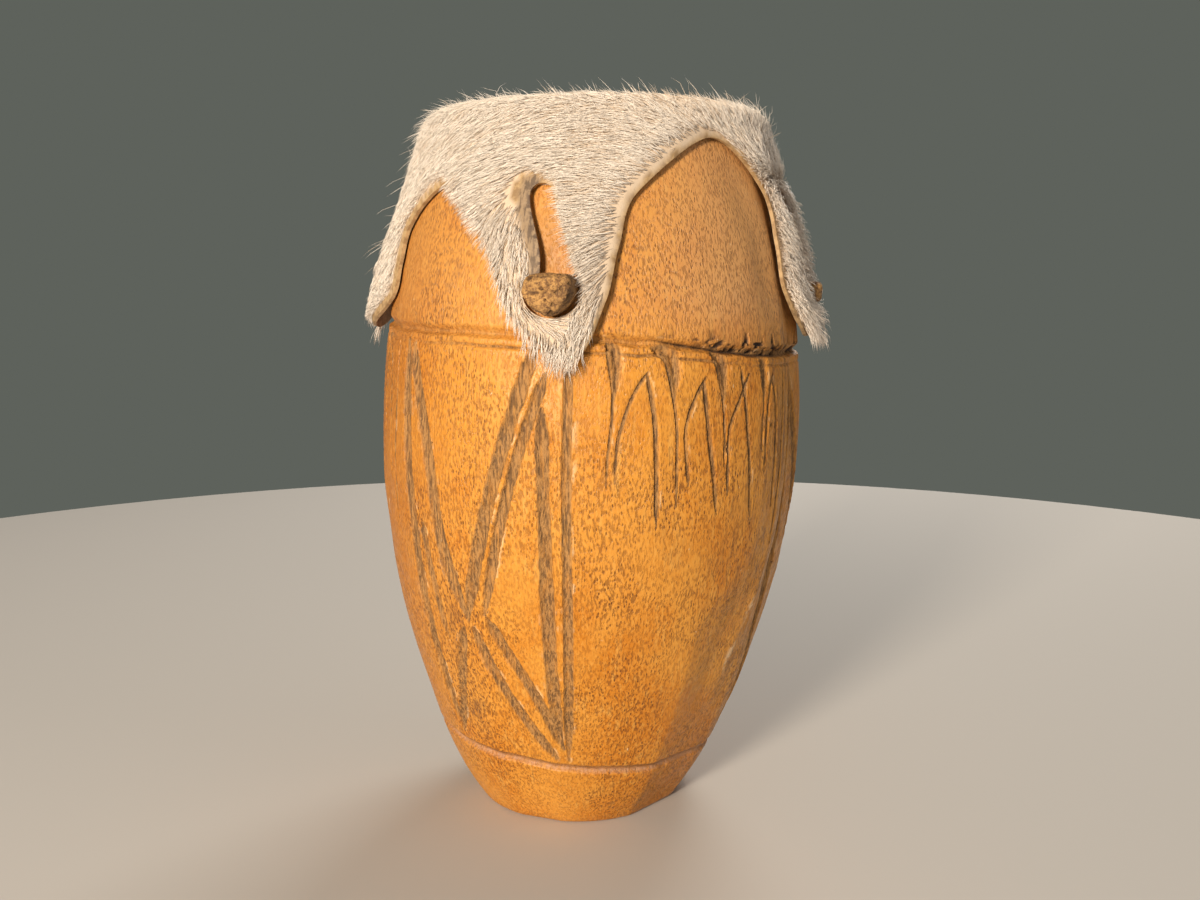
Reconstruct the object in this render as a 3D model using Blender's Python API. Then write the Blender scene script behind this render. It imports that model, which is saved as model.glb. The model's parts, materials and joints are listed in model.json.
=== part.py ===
"""A small hand-carved ceremonial drum with a hair-on goat hide held by four pegs.

The frame has +Z up and its origin on the floor, under the middle of the drum.
Azimuths are in degrees, 0 at the front (-Y) and growing towards +X. Lengths are in
metres. The wood's centre line leans a little to +X, and nothing on it is quite true.
"""

from math import cos, pi, radians, sin, sqrt, tan

import bmesh
import bpy
from mathutils import Vector

# Turned shape of the log, from the floor up
FOOT_RADIUS = 0.0225
FOOT_EDGE = 0.0008  # the rounded lower edge
FOOT_RING_HEIGHT = 0.0158
FOOT_RING_RADIUS = 0.0312
BELLY_HEIGHT = 0.083
BELLY_RADIUS = 0.0457
RIM_HEIGHT = 0.1468
RIM_RADIUS = 0.0340
RIM_EDGE = 0.0010
FOOT_SLOPE = 0.74  # gain of radius for each metre of height, at the floor
FOOT_RING_SLOPE = 0.41
RIM_SLOPE = -0.38

# The lean and bow of the centre line, towards +X
LEAN = 0.028
BOW = 0.0006

# Hollow: a chamber open at the rim, and a narrower bore out through the foot
WALL = 0.0085
RIM_WALL = 0.0068
BORE_RADIUS = 0.0130
BORE_HEIGHT = 0.020
CHAMBER_FLOOR_HEIGHT = 0.038  # where the bore has opened out to the full wall

# Rings cut round the wood, each in its own tilted plane
RING_HEIGHT = 0.1038
RING_TILT = -4.1
RING_WOBBLE = 0.0006  # three times round, highest at the front
RING_WIDTH = 0.0024
RING_DEPTH = 0.0011
FINE_LINE_DROP = 0.0026
FINE_LINE_WIDTH = 0.0010
FINE_LINE_DEPTH = 0.0005
FOOT_RING_TILT = -5.0
FOOT_RING_WIDTH = 0.0022
FOOT_RING_DEPTH = 0.0009

# Broad flats left by the adze: azimuth, depth, and the heights between which each runs
FLATS = (
    (69.0, 0.0007, 0.030, 0.150),
    (47.0, 0.0012, -0.010, 0.058),
    (118.0, 0.0010, 0.020, 0.150),
    (160.0, 0.0013, -0.010, 0.090),
    (-150.0, 0.0011, 0.030, 0.150),
    (-116.0, 0.0009, -0.010, 0.080),
    (-20.0, 0.0006, -0.010, 0.055),
)
FLAT_FADE = 0.014  # height over which a flat runs out

# Carved panels: pairs of a crossed panel and a row of lancets, repeated round the drum
PANEL_PAIRS = 3
STROKE_WIDTH = 0.0021
STROKE_DEPTH = 0.0009
LANCET_COUNT = 4
LANCET_PITCH = 13.7
FIRST_NOTCH = 4.6
LANCET_STROKE_WIDTH = 0.0013
LANCET_STROKE_DEPTH = 0.0007
NOTCH_WIDTH = 0.0028
NOTCH_DEPTH = 0.0008
RUN_OUT = 0.30  # width and depth that a stroke keeps at its very ends
STEP_DEGREES = 14.0  # a stroke's longest step round the drum
STEP_SHARE = 0.26  # and up it, as a share of the panel's height

# Strokes of the first crossed panel: azimuth, and height from the foot ring (0) to the ring (1)
CROSS_STROKES = (
    ("left_bound", 1.0, ((-54.3, 0.97), (-53.4, 0.79), (-51.9, 0.56), (-50.6, 0.28), (-48.4, 0.03))),
    ("left_down", 1.0, ((-51.8, 0.96), (-44.0, 0.73), (-39.9, 0.51), (-33.6, 0.355))),
    ("right_down", 1.25, ((-13.7, 0.97), (-21.4, 0.745), (-27.8, 0.54), (-33.5, 0.36))),
    ("right_down_inner", 1.0, ((-10.7, 0.92), (-18.1, 0.71), (-27.8, 0.375))),
    ("foot_left", 0.9, ((-35.8, 0.33), (-40.9, 0.185), (-47.4, 0.045))),
    ("foot_right", 1.0, ((-32.0, 0.335), (-26.6, 0.22), (-18.5, 0.115), (-7.7, 0.02))),
    ("foot_right_upper", 1.0, ((-27.3, 0.365), (-21.6, 0.28), (-13.6, 0.175), (-5.6, 0.055))),
    ("right_bound", 1.15, ((-11.5, 0.845), (-10.2, 0.555), (-8.9, 0.235), (-6.6, 0.07))),
    ("right_bound_outer", 1.0, ((-5.2, 0.96), (-5.2, 0.70), (-4.2, 0.34), (-3.9, 0.02))),
)
SLIP_STROKE = ("slip", 0.7, ((-47.6, 0.56), (-42.9, 0.29)))  # one stray cut, on the front only

# One lancet, from its notch: azimuths as shares of the pitch, and heights as above
LANCET_LEFT = ((0.62, 0.935), (0.40, 0.885), (0.24, 0.825), (0.12, 0.765), (0.10, 0.715))
LANCET_RIGHT = ((0.66, 0.925), (0.78, 0.84), (0.86, 0.735), (0.92, 0.635))
NOTCH = ((0.0, 0.985), (0.05, 0.93), (0.08, 0.87))
NOTCH_LINE = ((0.08, 0.875), (0.04, 0.79), (0.02, 0.70))

# Hide: skin and coat together, clear of the wood
HIDE_CLEARANCE = 0.0003
HIDE_THICKNESS = 0.0030
HIDE_EDGE_THICKNESS = 0.0014
HIDE_EDGE_BEVEL = 0.0004  # how much higher the coat ends than the skin
HIDE_SHOULDER = 0.0046  # radius of the bend over the rim
CROWN_LIFT = 0.0003  # how much higher the coat stands in the middle of the head
CROWN_SHARE = 0.62  # radius of that middle, as a share of the head's
COAT_RELIEF = 0.0004  # height of the locks that lie on the lobes
LOCK_WAVES = 38  # broad locks round the drum, and fine ones between them
FINE_LOCK_WAVES = 61
LOCK_TWIST = 90.0  # radians that the locks drift round for each metre up
LOBE_SWELL = 0.0011  # how far a lobe stands off where its peg props it
SWELL_FLAT = 4.0  # degrees each side of the peg that stand off in full
SWELL_FADE = 20.0  # degrees beyond, in which it lies down again
SWELL_RISE = 0.022  # height above the peg in which it lies down again

# Lobes: azimuth of each tip, its drop below the pegs, and the azimuth of the peg through it
LOBES = {
    "front": (-4.5, 0.0122, -9.5),
    "right": (79.5, 0.0095, 79.0),
    "back": (168.0, 0.0110, 169.0),
    "left": (-97.0, 0.0085, -100.0),
}
# Windows between the lobes: apex azimuth and drop below the rim, and the reach of each flank
# as shares of the way to the next tip at a quarter, half and three quarters of the rise
WINDOWS = (
    ("front", "right", 36.8, 0.0052, (0.82, 0.74, 0.60), (0.55, 0.53, 0.49)),
    ("right", "back", 128.0, 0.0098, (0.70, 0.62, 0.50), (0.72, 0.62, 0.50)),
    ("back", "left", 215.0, 0.0083, (0.74, 0.64, 0.50), (0.66, 0.58, 0.48)),
    ("left", "front", -46.0, 0.0138, (0.44, 0.38, 0.34), (0.64, 0.52, 0.36)),
)

# Slits: a long drop from a rounded head down to the peg
SLIT_LENGTH = 0.0200  # from the peg's middle up to the slit's head
SLIT_HEAD_WIDTH = 0.0048
SLIT_LEAN = 4.2  # degrees of azimuth that the head stands to the left of the peg

# Pegs: whittled stubs driven into blind holes
PEG_HEIGHT = 0.1125
PEG_WIDTH = 0.0094
PEG_ABOVE = 0.0034  # its flattened upper half
PEG_BELOW = 0.0044
# Each peg's size against those, and how far it stands out beyond the wood
PEGS = {
    "front": (1.0, 0.0074),
    "right": (0.62, 0.0058),
    "back": (0.85, 0.0068),
    "left": (0.75, 0.0058),
}
PEG_SUNK = 0.0060
PEG_CLEARANCE = 0.0003
PEG_ROUGHNESS = 0.0004  # most that the rough end departs from its outline
PEG_HEAD = 1.03  # the end's size over the shank's

CUTTER_PAST = 0.004  # how far a cutter reaches past what it cuts

# Fineness of the faceting
BODY_SIDES = 48
HOLLOW_SIDES = 28
EDGE_SAMPLES = 82
PEG_SIDES = 10


def clear_scene():
    for obj in list(bpy.data.objects):
        bpy.data.objects.remove(obj, do_unlink=True)


def material(name, colour, roughness):
    made = bpy.data.materials.new(name)
    made.use_nodes = True
    shader = made.node_tree.nodes["Principled BSDF"]
    shader.inputs["Base Color"].default_value = (*colour, 1.0)
    shader.inputs["Roughness"].default_value = roughness
    shader.inputs["Metallic"].default_value = 0.0
    made.diffuse_color = (*colour, 1.0)
    return made


def new_object(name, mesh_data, surface=None):
    bmesh.ops.recalc_face_normals(mesh_data, faces=mesh_data.faces)
    mesh = bpy.data.meshes.new(name)
    mesh_data.to_mesh(mesh)
    mesh_data.free()
    obj = bpy.data.objects.new(name, mesh)
    bpy.context.scene.collection.objects.link(obj)
    if surface:
        mesh.materials.append(surface)
    return obj


def as_cutter(obj, group=None):
    obj.hide_render = True
    obj.display_type = "WIRE"
    if group:
        bpy.context.scene.collection.objects.unlink(obj)
        group.objects.link(obj)
    return obj


def cut(obj, name, cutter=None, group=None):
    boolean = obj.modifiers.new(name, "BOOLEAN")
    boolean.operation = "DIFFERENCE"
    boolean.solver = "EXACT"
    if group:
        boolean.operand_type = "COLLECTION"
        boolean.collection = group
    else:
        boolean.object = cutter


def hermite(low, high, low_slope, high_slope, height):
    """Radius at a height between two (height, radius) stations with given slopes."""
    run = high[0] - low[0]
    t = (height - low[0]) / run
    rise = (high[1] - low[1]) * (3 * t * t - 2 * t**3)
    return low[1] + rise + run * (low_slope * (t**3 - 2 * t * t + t) + high_slope * (t**3 - t * t))


def turned_radius(height):
    foot, ring = (0.0, FOOT_RADIUS), (FOOT_RING_HEIGHT, FOOT_RING_RADIUS)
    belly, rim = (BELLY_HEIGHT, BELLY_RADIUS), (RIM_HEIGHT, RIM_RADIUS)
    height = min(max(height, 0.0), RIM_HEIGHT)
    if height < FOOT_RING_HEIGHT:
        return hermite(foot, ring, FOOT_SLOPE, FOOT_RING_SLOPE, height)
    if height < BELLY_HEIGHT:
        return hermite(ring, belly, FOOT_RING_SLOPE, 0.0, height)
    return hermite(belly, rim, 0.0, RIM_SLOPE, height)


def axis_x(height):
    share = height / RIM_HEIGHT
    return LEAN * (height - PEG_HEIGHT) + 4 * BOW * share * (1 - share)


def fade(value, start, length):
    share = min(max((value - start) / length, 0.0), 1.0)
    return share * share * (3 - 2 * share)


def wood_radius(height, azimuth):
    """Radius of the wood before any stroke is cut, with the adze's flats."""
    full = turned_radius(height)
    radius = full
    for middle, depth, low, high in FLATS:
        away = (azimuth - middle + 180) % 360 - 180
        if abs(away) > 40:
            continue
        there = fade(height, low, FLAT_FADE) * (1 - fade(height, high - FLAT_FADE, FLAT_FADE))
        radius = min(radius, (full - depth * there) / cos(radians(away)))
    return radius


def at(height, azimuth, radius):
    turn = radians(azimuth)
    return Vector((axis_x(height) + radius * sin(turn), -radius * cos(turn), height))


def outward(height, azimuth):
    """Unit normal of the turned shape, near enough for the strokes and the pegs."""
    step = 0.0005
    slope = (turned_radius(height + step) - turned_radius(height - step)) / (2 * step)
    turn = radians(azimuth)
    return Vector((sin(turn), -cos(turn), -slope)).normalized()


def ring_height(azimuth, height, tilt, radius):
    return height + tan(radians(tilt)) * radius * sin(radians(azimuth))


def upper_ring(azimuth):
    level = ring_height(azimuth, RING_HEIGHT, RING_TILT, turned_radius(RING_HEIGHT))
    return level + RING_WOBBLE * cos(radians(3 * azimuth))


def foot_ring(azimuth):
    return ring_height(azimuth, FOOT_RING_HEIGHT, FOOT_RING_TILT, FOOT_RING_RADIUS)


def panel_height(azimuth, share):
    low, high = foot_ring(azimuth), upper_ring(azimuth)
    return low + share * (high - low)


def row_height(azimuth, height):
    """Height of a mesh row: level at the floor and the rim, and tilted along with the rings."""
    drop, rise = foot_ring(azimuth) - FOOT_RING_HEIGHT, upper_ring(azimuth) - RING_HEIGHT
    if height <= FOOT_RING_HEIGHT:
        return height + drop * height / FOOT_RING_HEIGHT
    if height <= RING_HEIGHT:
        share = (height - FOOT_RING_HEIGHT) / (RING_HEIGHT - FOOT_RING_HEIGHT)
        return height + drop + (rise - drop) * share
    return height + rise * (RIM_HEIGHT - height) / (RIM_HEIGHT - RING_HEIGHT)


def spread(low, high, count):
    """count heights between low and high, without either end."""
    return [low + (high - low) * (i + 1) / (count + 1) for i in range(count)]


def groove_rows(height, width, depth):
    return [(height - width / 2, 0.0), (height, depth), (height + width / 2, 0.0)]


def wood_rows():
    """(height, cut) of each row of the log's outside, from the floor up."""
    foot = groove_rows(FOOT_RING_HEIGHT, FOOT_RING_WIDTH, FOOT_RING_DEPTH)
    fine = groove_rows(RING_HEIGHT - FINE_LINE_DROP, FINE_LINE_WIDTH, FINE_LINE_DEPTH)
    ring = groove_rows(RING_HEIGHT, RING_WIDTH, RING_DEPTH)
    rows = [(0.0, FOOT_EDGE), (FOOT_EDGE, 0.0)]
    rows += [(height, 0.0) for height in spread(FOOT_EDGE, foot[0][0], 2)]
    rows += foot
    rows += [(height, 0.0) for height in spread(foot[-1][0], fine[0][0], 7)]
    rows += fine + ring
    rows += [(height, 0.0) for height in spread(ring[-1][0], RIM_HEIGHT - RIM_EDGE, 4)]
    return rows + [(RIM_HEIGHT - RIM_EDGE, 0.0), (RIM_HEIGHT, RIM_EDGE)]


def skin_rings(mesh_data, rings):
    """Joins rings of vertices into a closed body, with a flat cap at each end."""
    for lower, upper in zip(rings, rings[1:]):
        for i in range(len(lower)):
            j = (i + 1) % len(lower)
            mesh_data.faces.new((lower[i], lower[j], upper[j], upper[i]))
    mesh_data.faces.new(rings[0])
    mesh_data.faces.new(rings[-1])


def log_body(surface):
    mesh_data = bmesh.new()
    rings = []
    for height, depth in wood_rows():
        ring = []
        for i in range(BODY_SIDES):
            azimuth = 360 * i / BODY_SIDES
            z = row_height(azimuth, height)
            ring.append(mesh_data.verts.new(at(z, azimuth, wood_radius(z, azimuth) - depth)))
        rings.append(ring)
    skin_rings(mesh_data, rings)
    return new_object("drum_shell", mesh_data, surface)


def hollow_radius(height):
    """Radius of the hollow: the bore up to BORE_HEIGHT, then out to the wall, then the rim."""
    share = (height - CHAMBER_FLOOR_HEIGHT) / (RIM_HEIGHT - CHAMBER_FLOOR_HEIGHT)
    wall = WALL + (RIM_WALL - WALL) * min(max(share, 0.0), 1.0)
    opened = fade(height, BORE_HEIGHT, CHAMBER_FLOOR_HEIGHT - BORE_HEIGHT)
    return BORE_RADIUS + (turned_radius(height) - wall - BORE_RADIUS) * opened


def hollow_cutter():
    heights = [-CUTTER_PAST, BORE_HEIGHT]
    heights += spread(BORE_HEIGHT, CHAMBER_FLOOR_HEIGHT, 3)
    heights += [CHAMBER_FLOOR_HEIGHT]
    heights += spread(CHAMBER_FLOOR_HEIGHT, RIM_HEIGHT, 7)
    heights += [RIM_HEIGHT, RIM_HEIGHT + CUTTER_PAST]
    mesh_data = bmesh.new()
    rings = []
    for height in heights:
        radius = hollow_radius(min(max(height, 0.0), RIM_HEIGHT))
        turns = [360 * i / HOLLOW_SIDES for i in range(HOLLOW_SIDES)]
        rings.append([mesh_data.verts.new(at(height, turn, radius)) for turn in turns])
    skin_rings(mesh_data, rings)
    return as_cutter(new_object("hollow_cutter", mesh_data))


def along(points):
    """The points of a stroke, with more put in between so that it follows the curve."""
    made = [points[0]]
    for (azimuth, share), (next_azimuth, next_share) in zip(points, points[1:]):
        steps = abs(next_azimuth - azimuth) / STEP_DEGREES + abs(next_share - share) / STEP_SHARE
        count = max(1, round(steps))
        for i in range(count):
            t = (i + 1) / count
            made.append((azimuth + (next_azimuth - azimuth) * t, share + (next_share - share) * t))
    return made


def stroke_cutter(name, points, width, depth, start=RUN_OUT):
    """A V-section swept along a stroke, from a share of its full size out to RUN_OUT."""
    above = depth
    places = along(points)
    centres, normals = [], []
    for azimuth, share in places:
        height = panel_height(azimuth, share)
        centres.append(at(height, azimuth, wood_radius(height, azimuth)))
        normals.append(outward(height, azimuth))
    mesh_data = bmesh.new()
    sections = []
    last = len(centres) - 1
    for i, (centre, normal) in enumerate(zip(centres, normals)):
        ahead = centres[min(i + 1, last)] - centres[max(i - 1, 0)]
        side = normal.cross(ahead).normalized()
        size = start if i == 0 else RUN_OUT if i == last else 1.0
        bottom = depth * size
        half = width / 2 * size * (bottom + above) / bottom
        corners = (centre + normal * above + side * half, centre + normal * above - side * half)
        corners += (centre - normal * bottom,)
        sections.append([mesh_data.verts.new(corner) for corner in corners])
    skin_rings(mesh_data, sections)
    return new_object(name, mesh_data)


def carve_panels(shell):
    group = bpy.data.collections.new("carving_cutters")
    group.hide_render = True
    bpy.context.scene.collection.children.link(group)
    for pair in range(PANEL_PAIRS):
        start = 360 / PANEL_PAIRS * pair
        strokes = CROSS_STROKES + ((SLIP_STROKE,) if pair == 0 else ())
        for name, weight, points in strokes:
            moved = [(azimuth + start, share) for azimuth, share in points]
            cutter = stroke_cutter(
                f"{name}_{pair}", moved, STROKE_WIDTH * weight, STROKE_DEPTH * weight
            )
            as_cutter(cutter, group)
        for i in range(LANCET_COUNT):
            notch = start + FIRST_NOTCH + LANCET_PITCH * i
            parts = (
                ("notch", NOTCH, NOTCH_WIDTH, NOTCH_DEPTH, 1.0),
                ("notch_line", NOTCH_LINE, LANCET_STROKE_WIDTH, LANCET_STROKE_DEPTH, RUN_OUT),
                ("lancet_left", LANCET_LEFT, LANCET_STROKE_WIDTH, LANCET_STROKE_DEPTH, RUN_OUT),
                ("lancet_right", LANCET_RIGHT, LANCET_STROKE_WIDTH, LANCET_STROKE_DEPTH, RUN_OUT),
            )
            for name, points, width, depth, begin in parts:
                moved = [(notch + share * LANCET_PITCH, height) for share, height in points]
                cutter = stroke_cutter(f"{name}_{pair}_{i}", moved, width, depth, begin)
                as_cutter(cutter, group)
    cut(shell, "carving", group=group)


def peg_frame(azimuth):
    """Where a peg's axis crosses the wood, and its outward, sideways and upward directions."""
    turn = radians(azimuth)
    out = Vector((sin(turn), -cos(turn), 0.0))
    side = Vector((cos(turn), sin(turn), 0.0))
    crossing = at(PEG_HEIGHT, azimuth, wood_radius(PEG_HEIGHT, azimuth))
    return crossing, out, side, Vector((0.0, 0.0, 1.0))


def peg_outline(grow, share):
    turns = [2 * pi * (i + 0.5) / PEG_SIDES for i in range(PEG_SIDES)]
    outline = []
    for turn in turns:
        reach = PEG_ABOVE if sin(turn) > 0 else PEG_BELOW
        half = PEG_WIDTH / 2 * share + grow
        outline.append((half * cos(turn), (reach * share + grow) * sin(turn)))
    return outline


def prism(name, azimuth, outline, inner, outer):
    """An outline of (side, up) points round a peg's axis, run along it from inner to outer."""
    crossing, out, side, up = peg_frame(azimuth)
    mesh_data = bmesh.new()
    rings = []
    for reach in (inner, outer):
        base = crossing + out * reach
        rings.append([mesh_data.verts.new(base + side * s + up * u) for s, u in outline])
    skin_rings(mesh_data, rings)
    return as_cutter(new_object(name, mesh_data))


def make_peg(name, azimuth, surface):
    """A stub with a plain shank in the hole and a rough, blunt end."""
    crossing, out, side, up = peg_frame(azimuth)
    share, proud = PEGS[name]
    outline = peg_outline(0.0, share)
    stations = (
        (-PEG_SUNK, 0.80, 0.0),
        (-PEG_SUNK * 0.7, 1.0, 0.0),
        (proud * 0.45, 1.0, 0.0),
        (proud * 0.74, PEG_HEAD, 1.0),
        (proud * 0.93, 0.86, 1.0),
        (proud, 0.52, 0.6),
    )
    mesh_data = bmesh.new()
    rings = []
    for row, (reach, size, rough) in enumerate(stations):
        ring = []
        for i, (s, u) in enumerate(outline):
            bump = rough * PEG_ROUGHNESS * (sin(2.6 * i + azimuth) + sin(4.3 * i + 2.0 * row)) / 2
            grow = size + bump / (PEG_WIDTH / 2 * share)
            tip = 0.5 * rough * PEG_ROUGHNESS * sin(3.1 * i + row + azimuth)
            point = crossing + out * (reach + tip) + side * s * grow + up * u * grow
            ring.append(mesh_data.verts.new(point))
        rings.append(ring)
    skin_rings(mesh_data, rings)
    return new_object(f"peg_{name}", mesh_data, surface)


def flank(tip, apex, reaches):
    """Points of one side of a window, from the lobe's tip up to the apex, ends left out."""
    (tip_azimuth, tip_height), (apex_azimuth, apex_height) = tip, apex
    span, rise = tip_azimuth - apex_azimuth, apex_height - tip_height
    shares = (0.25, 0.50, 0.75)
    return [
        (apex_azimuth + span * reach, tip_height + rise * share)
        for reach, share in zip(reaches, shares)
    ]


def hide_edge_points():
    """The hide's lower edge once round the drum, as (azimuth, height) points."""
    points = []
    for left, right, apex_azimuth, apex_drop, left_reach, right_reach in WINDOWS:
        left_azimuth, left_drop, _ = LOBES[left]
        right_azimuth, right_drop, _ = LOBES[right]
        while left_azimuth > apex_azimuth:
            left_azimuth -= 360
        while right_azimuth < apex_azimuth:
            right_azimuth += 360
        left_tip = (left_azimuth, PEG_HEIGHT - left_drop)
        right_tip = (right_azimuth, PEG_HEIGHT - right_drop)
        apex = (apex_azimuth, RIM_HEIGHT - apex_drop)
        points.append(left_tip)
        points += flank(left_tip, apex, left_reach)
        points.append(apex)
        points += reversed(flank(right_tip, apex, right_reach))
    first = points[0][0]
    ordered = []
    for azimuth, height in points:
        while azimuth < first:
            azimuth += 360
        ordered.append((azimuth, height))
    return ordered


def smooth_loop(points, period, samples):
    """samples points at even steps along a smooth closed curve through the given points."""
    count = len(points)

    def get(i):
        azimuth, height = points[i % count]
        return Vector((azimuth + period * (i // count), height, 0.0))

    fine = []
    for i in range(count):
        a, b, c, d = get(i - 1), get(i), get(i + 1), get(i + 2)
        for k in range(12):
            t = k / 12
            point = 0.5 * (
                2 * b + (c - a) * t + (2 * a - 5 * b + 4 * c - d) * t**2 + (3 * b - a - 3 * c + d) * t**3
            )
            fine.append((point.x, point.y))
    fine.append((fine[0][0] + period, fine[0][1]))
    per_degree = radians(1) * turned_radius(PEG_HEIGHT)
    lengths = [0.0]
    for (a, low), (b, high) in zip(fine, fine[1:]):
        lengths.append(lengths[-1] + sqrt(((b - a) * per_degree) ** 2 + (high - low) ** 2))
    made = []
    k = 0
    for i in range(samples):
        wanted = lengths[-1] * i / samples
        while lengths[k + 1] < wanted:
            k += 1
        t = (wanted - lengths[k]) / (lengths[k + 1] - lengths[k])
        made.append(tuple(fine[k][j] + t * (fine[k + 1][j] - fine[k][j]) for j in (0, 1)))
    return made


def lobe_share(azimuth, height):
    """1 in the middle of a lobe beside its peg, 0 on the crown and in the windows."""
    most = 0.0
    for _, _, peg_azimuth in LOBES.values():
        away = (azimuth - peg_azimuth + 180) % 360 - 180
        most = max(most, 1 - fade(abs(away), SWELL_FLAT, SWELL_FADE))
    return most * (1 - fade(height, PEG_HEIGHT, SWELL_RISE))


def coat_lift(azimuth, height):
    """Locks that run down the lobes, and the swell where the peg props the hide."""
    share = lobe_share(azimuth, height)
    locks = 0.6 * sin(radians(azimuth) * LOCK_WAVES + LOCK_TWIST * height)
    locks += 0.4 * sin(radians(azimuth) * FINE_LOCK_WAVES)
    return share * (LOBE_SWELL + COAT_RELIEF * locks)


def hide_body(surface):
    """One closed body: the outside from the crown to the edge, then back up the inside."""
    edge = smooth_loop(hide_edge_points(), 360.0, EDGE_SAMPLES)
    top = RIM_HEIGHT + HIDE_CLEARANCE
    bend_height = top + HIDE_THICKNESS - HIDE_SHOULDER
    bend_radius = RIM_RADIUS + HIDE_CLEARANCE + HIDE_THICKNESS - HIDE_SHOULDER
    crown_height = top + HIDE_THICKNESS + CROWN_LIFT
    mesh_data = bmesh.new()
    rings = [[] for _ in range(13)]

    def skirt(azimuth, low, share, lift):
        """A point of the skirt, share of the way from the bend down to the edge."""
        height = bend_height + (low - bend_height) * share
        return at(height, azimuth, wood_radius(height, azimuth) + lift)

    for azimuth, low in edge:
        # Inside, from the edge up to the crown
        inner = HIDE_CLEARANCE
        column = [skirt(azimuth, low, 1.0, inner + 0.4 * coat_lift(azimuth, low))]
        for share in (0.72, 0.42, 0.0):
            height = bend_height + (low - bend_height) * share
            column.append(skirt(azimuth, low, share, inner + 0.4 * coat_lift(azimuth, height)))
        column.append(at(top, azimuth, RIM_RADIUS - RIM_EDGE + HIDE_CLEARANCE))
        column.reverse()
        # Outside, from the edge up to the crown
        outer = HIDE_CLEARANCE + HIDE_THICKNESS
        edge_lift = HIDE_CLEARANCE + HIDE_EDGE_THICKNESS + coat_lift(azimuth, low)
        column.append(skirt(azimuth, low + HIDE_EDGE_BEVEL, 1.0, edge_lift))
        for share in (0.86, 0.62, 0.36, 0.14):
            height = bend_height + (low - bend_height) * share
            column.append(skirt(azimuth, low, share, outer + coat_lift(azimuth, height)))
        for turn in (0.0, 45.0, 90.0):
            reach = bend_radius + HIDE_SHOULDER * cos(radians(turn))
            height = bend_height + HIDE_SHOULDER * sin(radians(turn))
            column.append(at(height, azimuth, reach))
        for ring, point in zip(rings, column):
            ring.append(mesh_data.verts.new(point))
    centre_inside = mesh_data.verts.new(at(top, 0.0, 0.0))
    centre_outside = mesh_data.verts.new(at(crown_height, 0.0, 0.0))
    crown_points = [at(crown_height, azimuth, bend_radius * CROWN_SHARE) for azimuth, _ in edge]
    crown = [mesh_data.verts.new(point) for point in crown_points]
    rings.append(crown)
    for lower, upper in zip(rings, rings[1:]):
        for i in range(len(lower)):
            j = (i + 1) % len(lower)
            mesh_data.faces.new((lower[i], lower[j], upper[j], upper[i]))
    for i in range(len(edge)):
        j = (i + 1) % len(edge)
        mesh_data.faces.new((rings[0][j], rings[0][i], centre_inside))
        mesh_data.faces.new((crown[i], crown[j], centre_outside))
    return new_object("goat_hide", mesh_data, surface)


def slit_outline(azimuth, share):
    """A drop round the peg, drawn up to a rounded head that leans to the left."""
    radius = wood_radius(PEG_HEIGHT, azimuth)
    lean = -SLIT_LEAN * radians(1) * radius
    half_head = SLIT_HEAD_WIDTH / 2
    gap = PEG_CLEARANCE + PEG_ROUGHNESS
    half_peg = PEG_WIDTH / 2 * share * PEG_HEAD + gap
    under = PEG_BELOW * share * PEG_HEAD + gap
    outline = []
    for turn in (0, -36, -72, -108, -144, -180):
        outline.append((half_peg * cos(radians(turn)), under * sin(radians(turn))))
    for turn in (180, 120, 60, 0):
        head_up = SLIT_LENGTH - half_head
        outline.append((lean + half_head * cos(radians(turn)), head_up + half_head * sin(radians(turn))))
    return outline


def main():
    clear_scene()
    wood = material("oiled_wood", (0.55, 0.30, 0.10), 0.45)
    hide = material("goat_hide_coat", (0.80, 0.72, 0.58), 0.85)
    bark = material("peg_wood", (0.36, 0.20, 0.08), 0.8)

    shell = log_body(wood)
    cut(shell, "hollow", hollow_cutter())
    carve_panels(shell)
    skin = hide_body(hide)
    bottom = -PEG_SUNK - PEG_CLEARANCE
    coat = HIDE_CLEARANCE + HIDE_THICKNESS + LOBE_SWELL + COAT_RELIEF
    for name, (_, _, azimuth) in LOBES.items():
        share, _ = PEGS[name]
        outline = peg_outline(PEG_CLEARANCE, share)
        hole = prism(f"peg_hole_{name}", azimuth, outline, bottom, CUTTER_PAST)
        cut(shell, f"peg_hole_{name}", hole)
        outline = slit_outline(azimuth, share)
        slit = prism(f"slit_{name}", azimuth, outline, -CUTTER_PAST, coat + CUTTER_PAST)
        cut(skin, f"slit_{name}", slit)
        make_peg(name, azimuth, bark)


main()
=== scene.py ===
import json
from itertools import product
from math import cos, pi, radians, sin

import bpy
import numpy as np
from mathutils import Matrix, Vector
from mathutils.geometry import delaunay_2d_cdt
from mathutils.kdtree import KDTree

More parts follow.
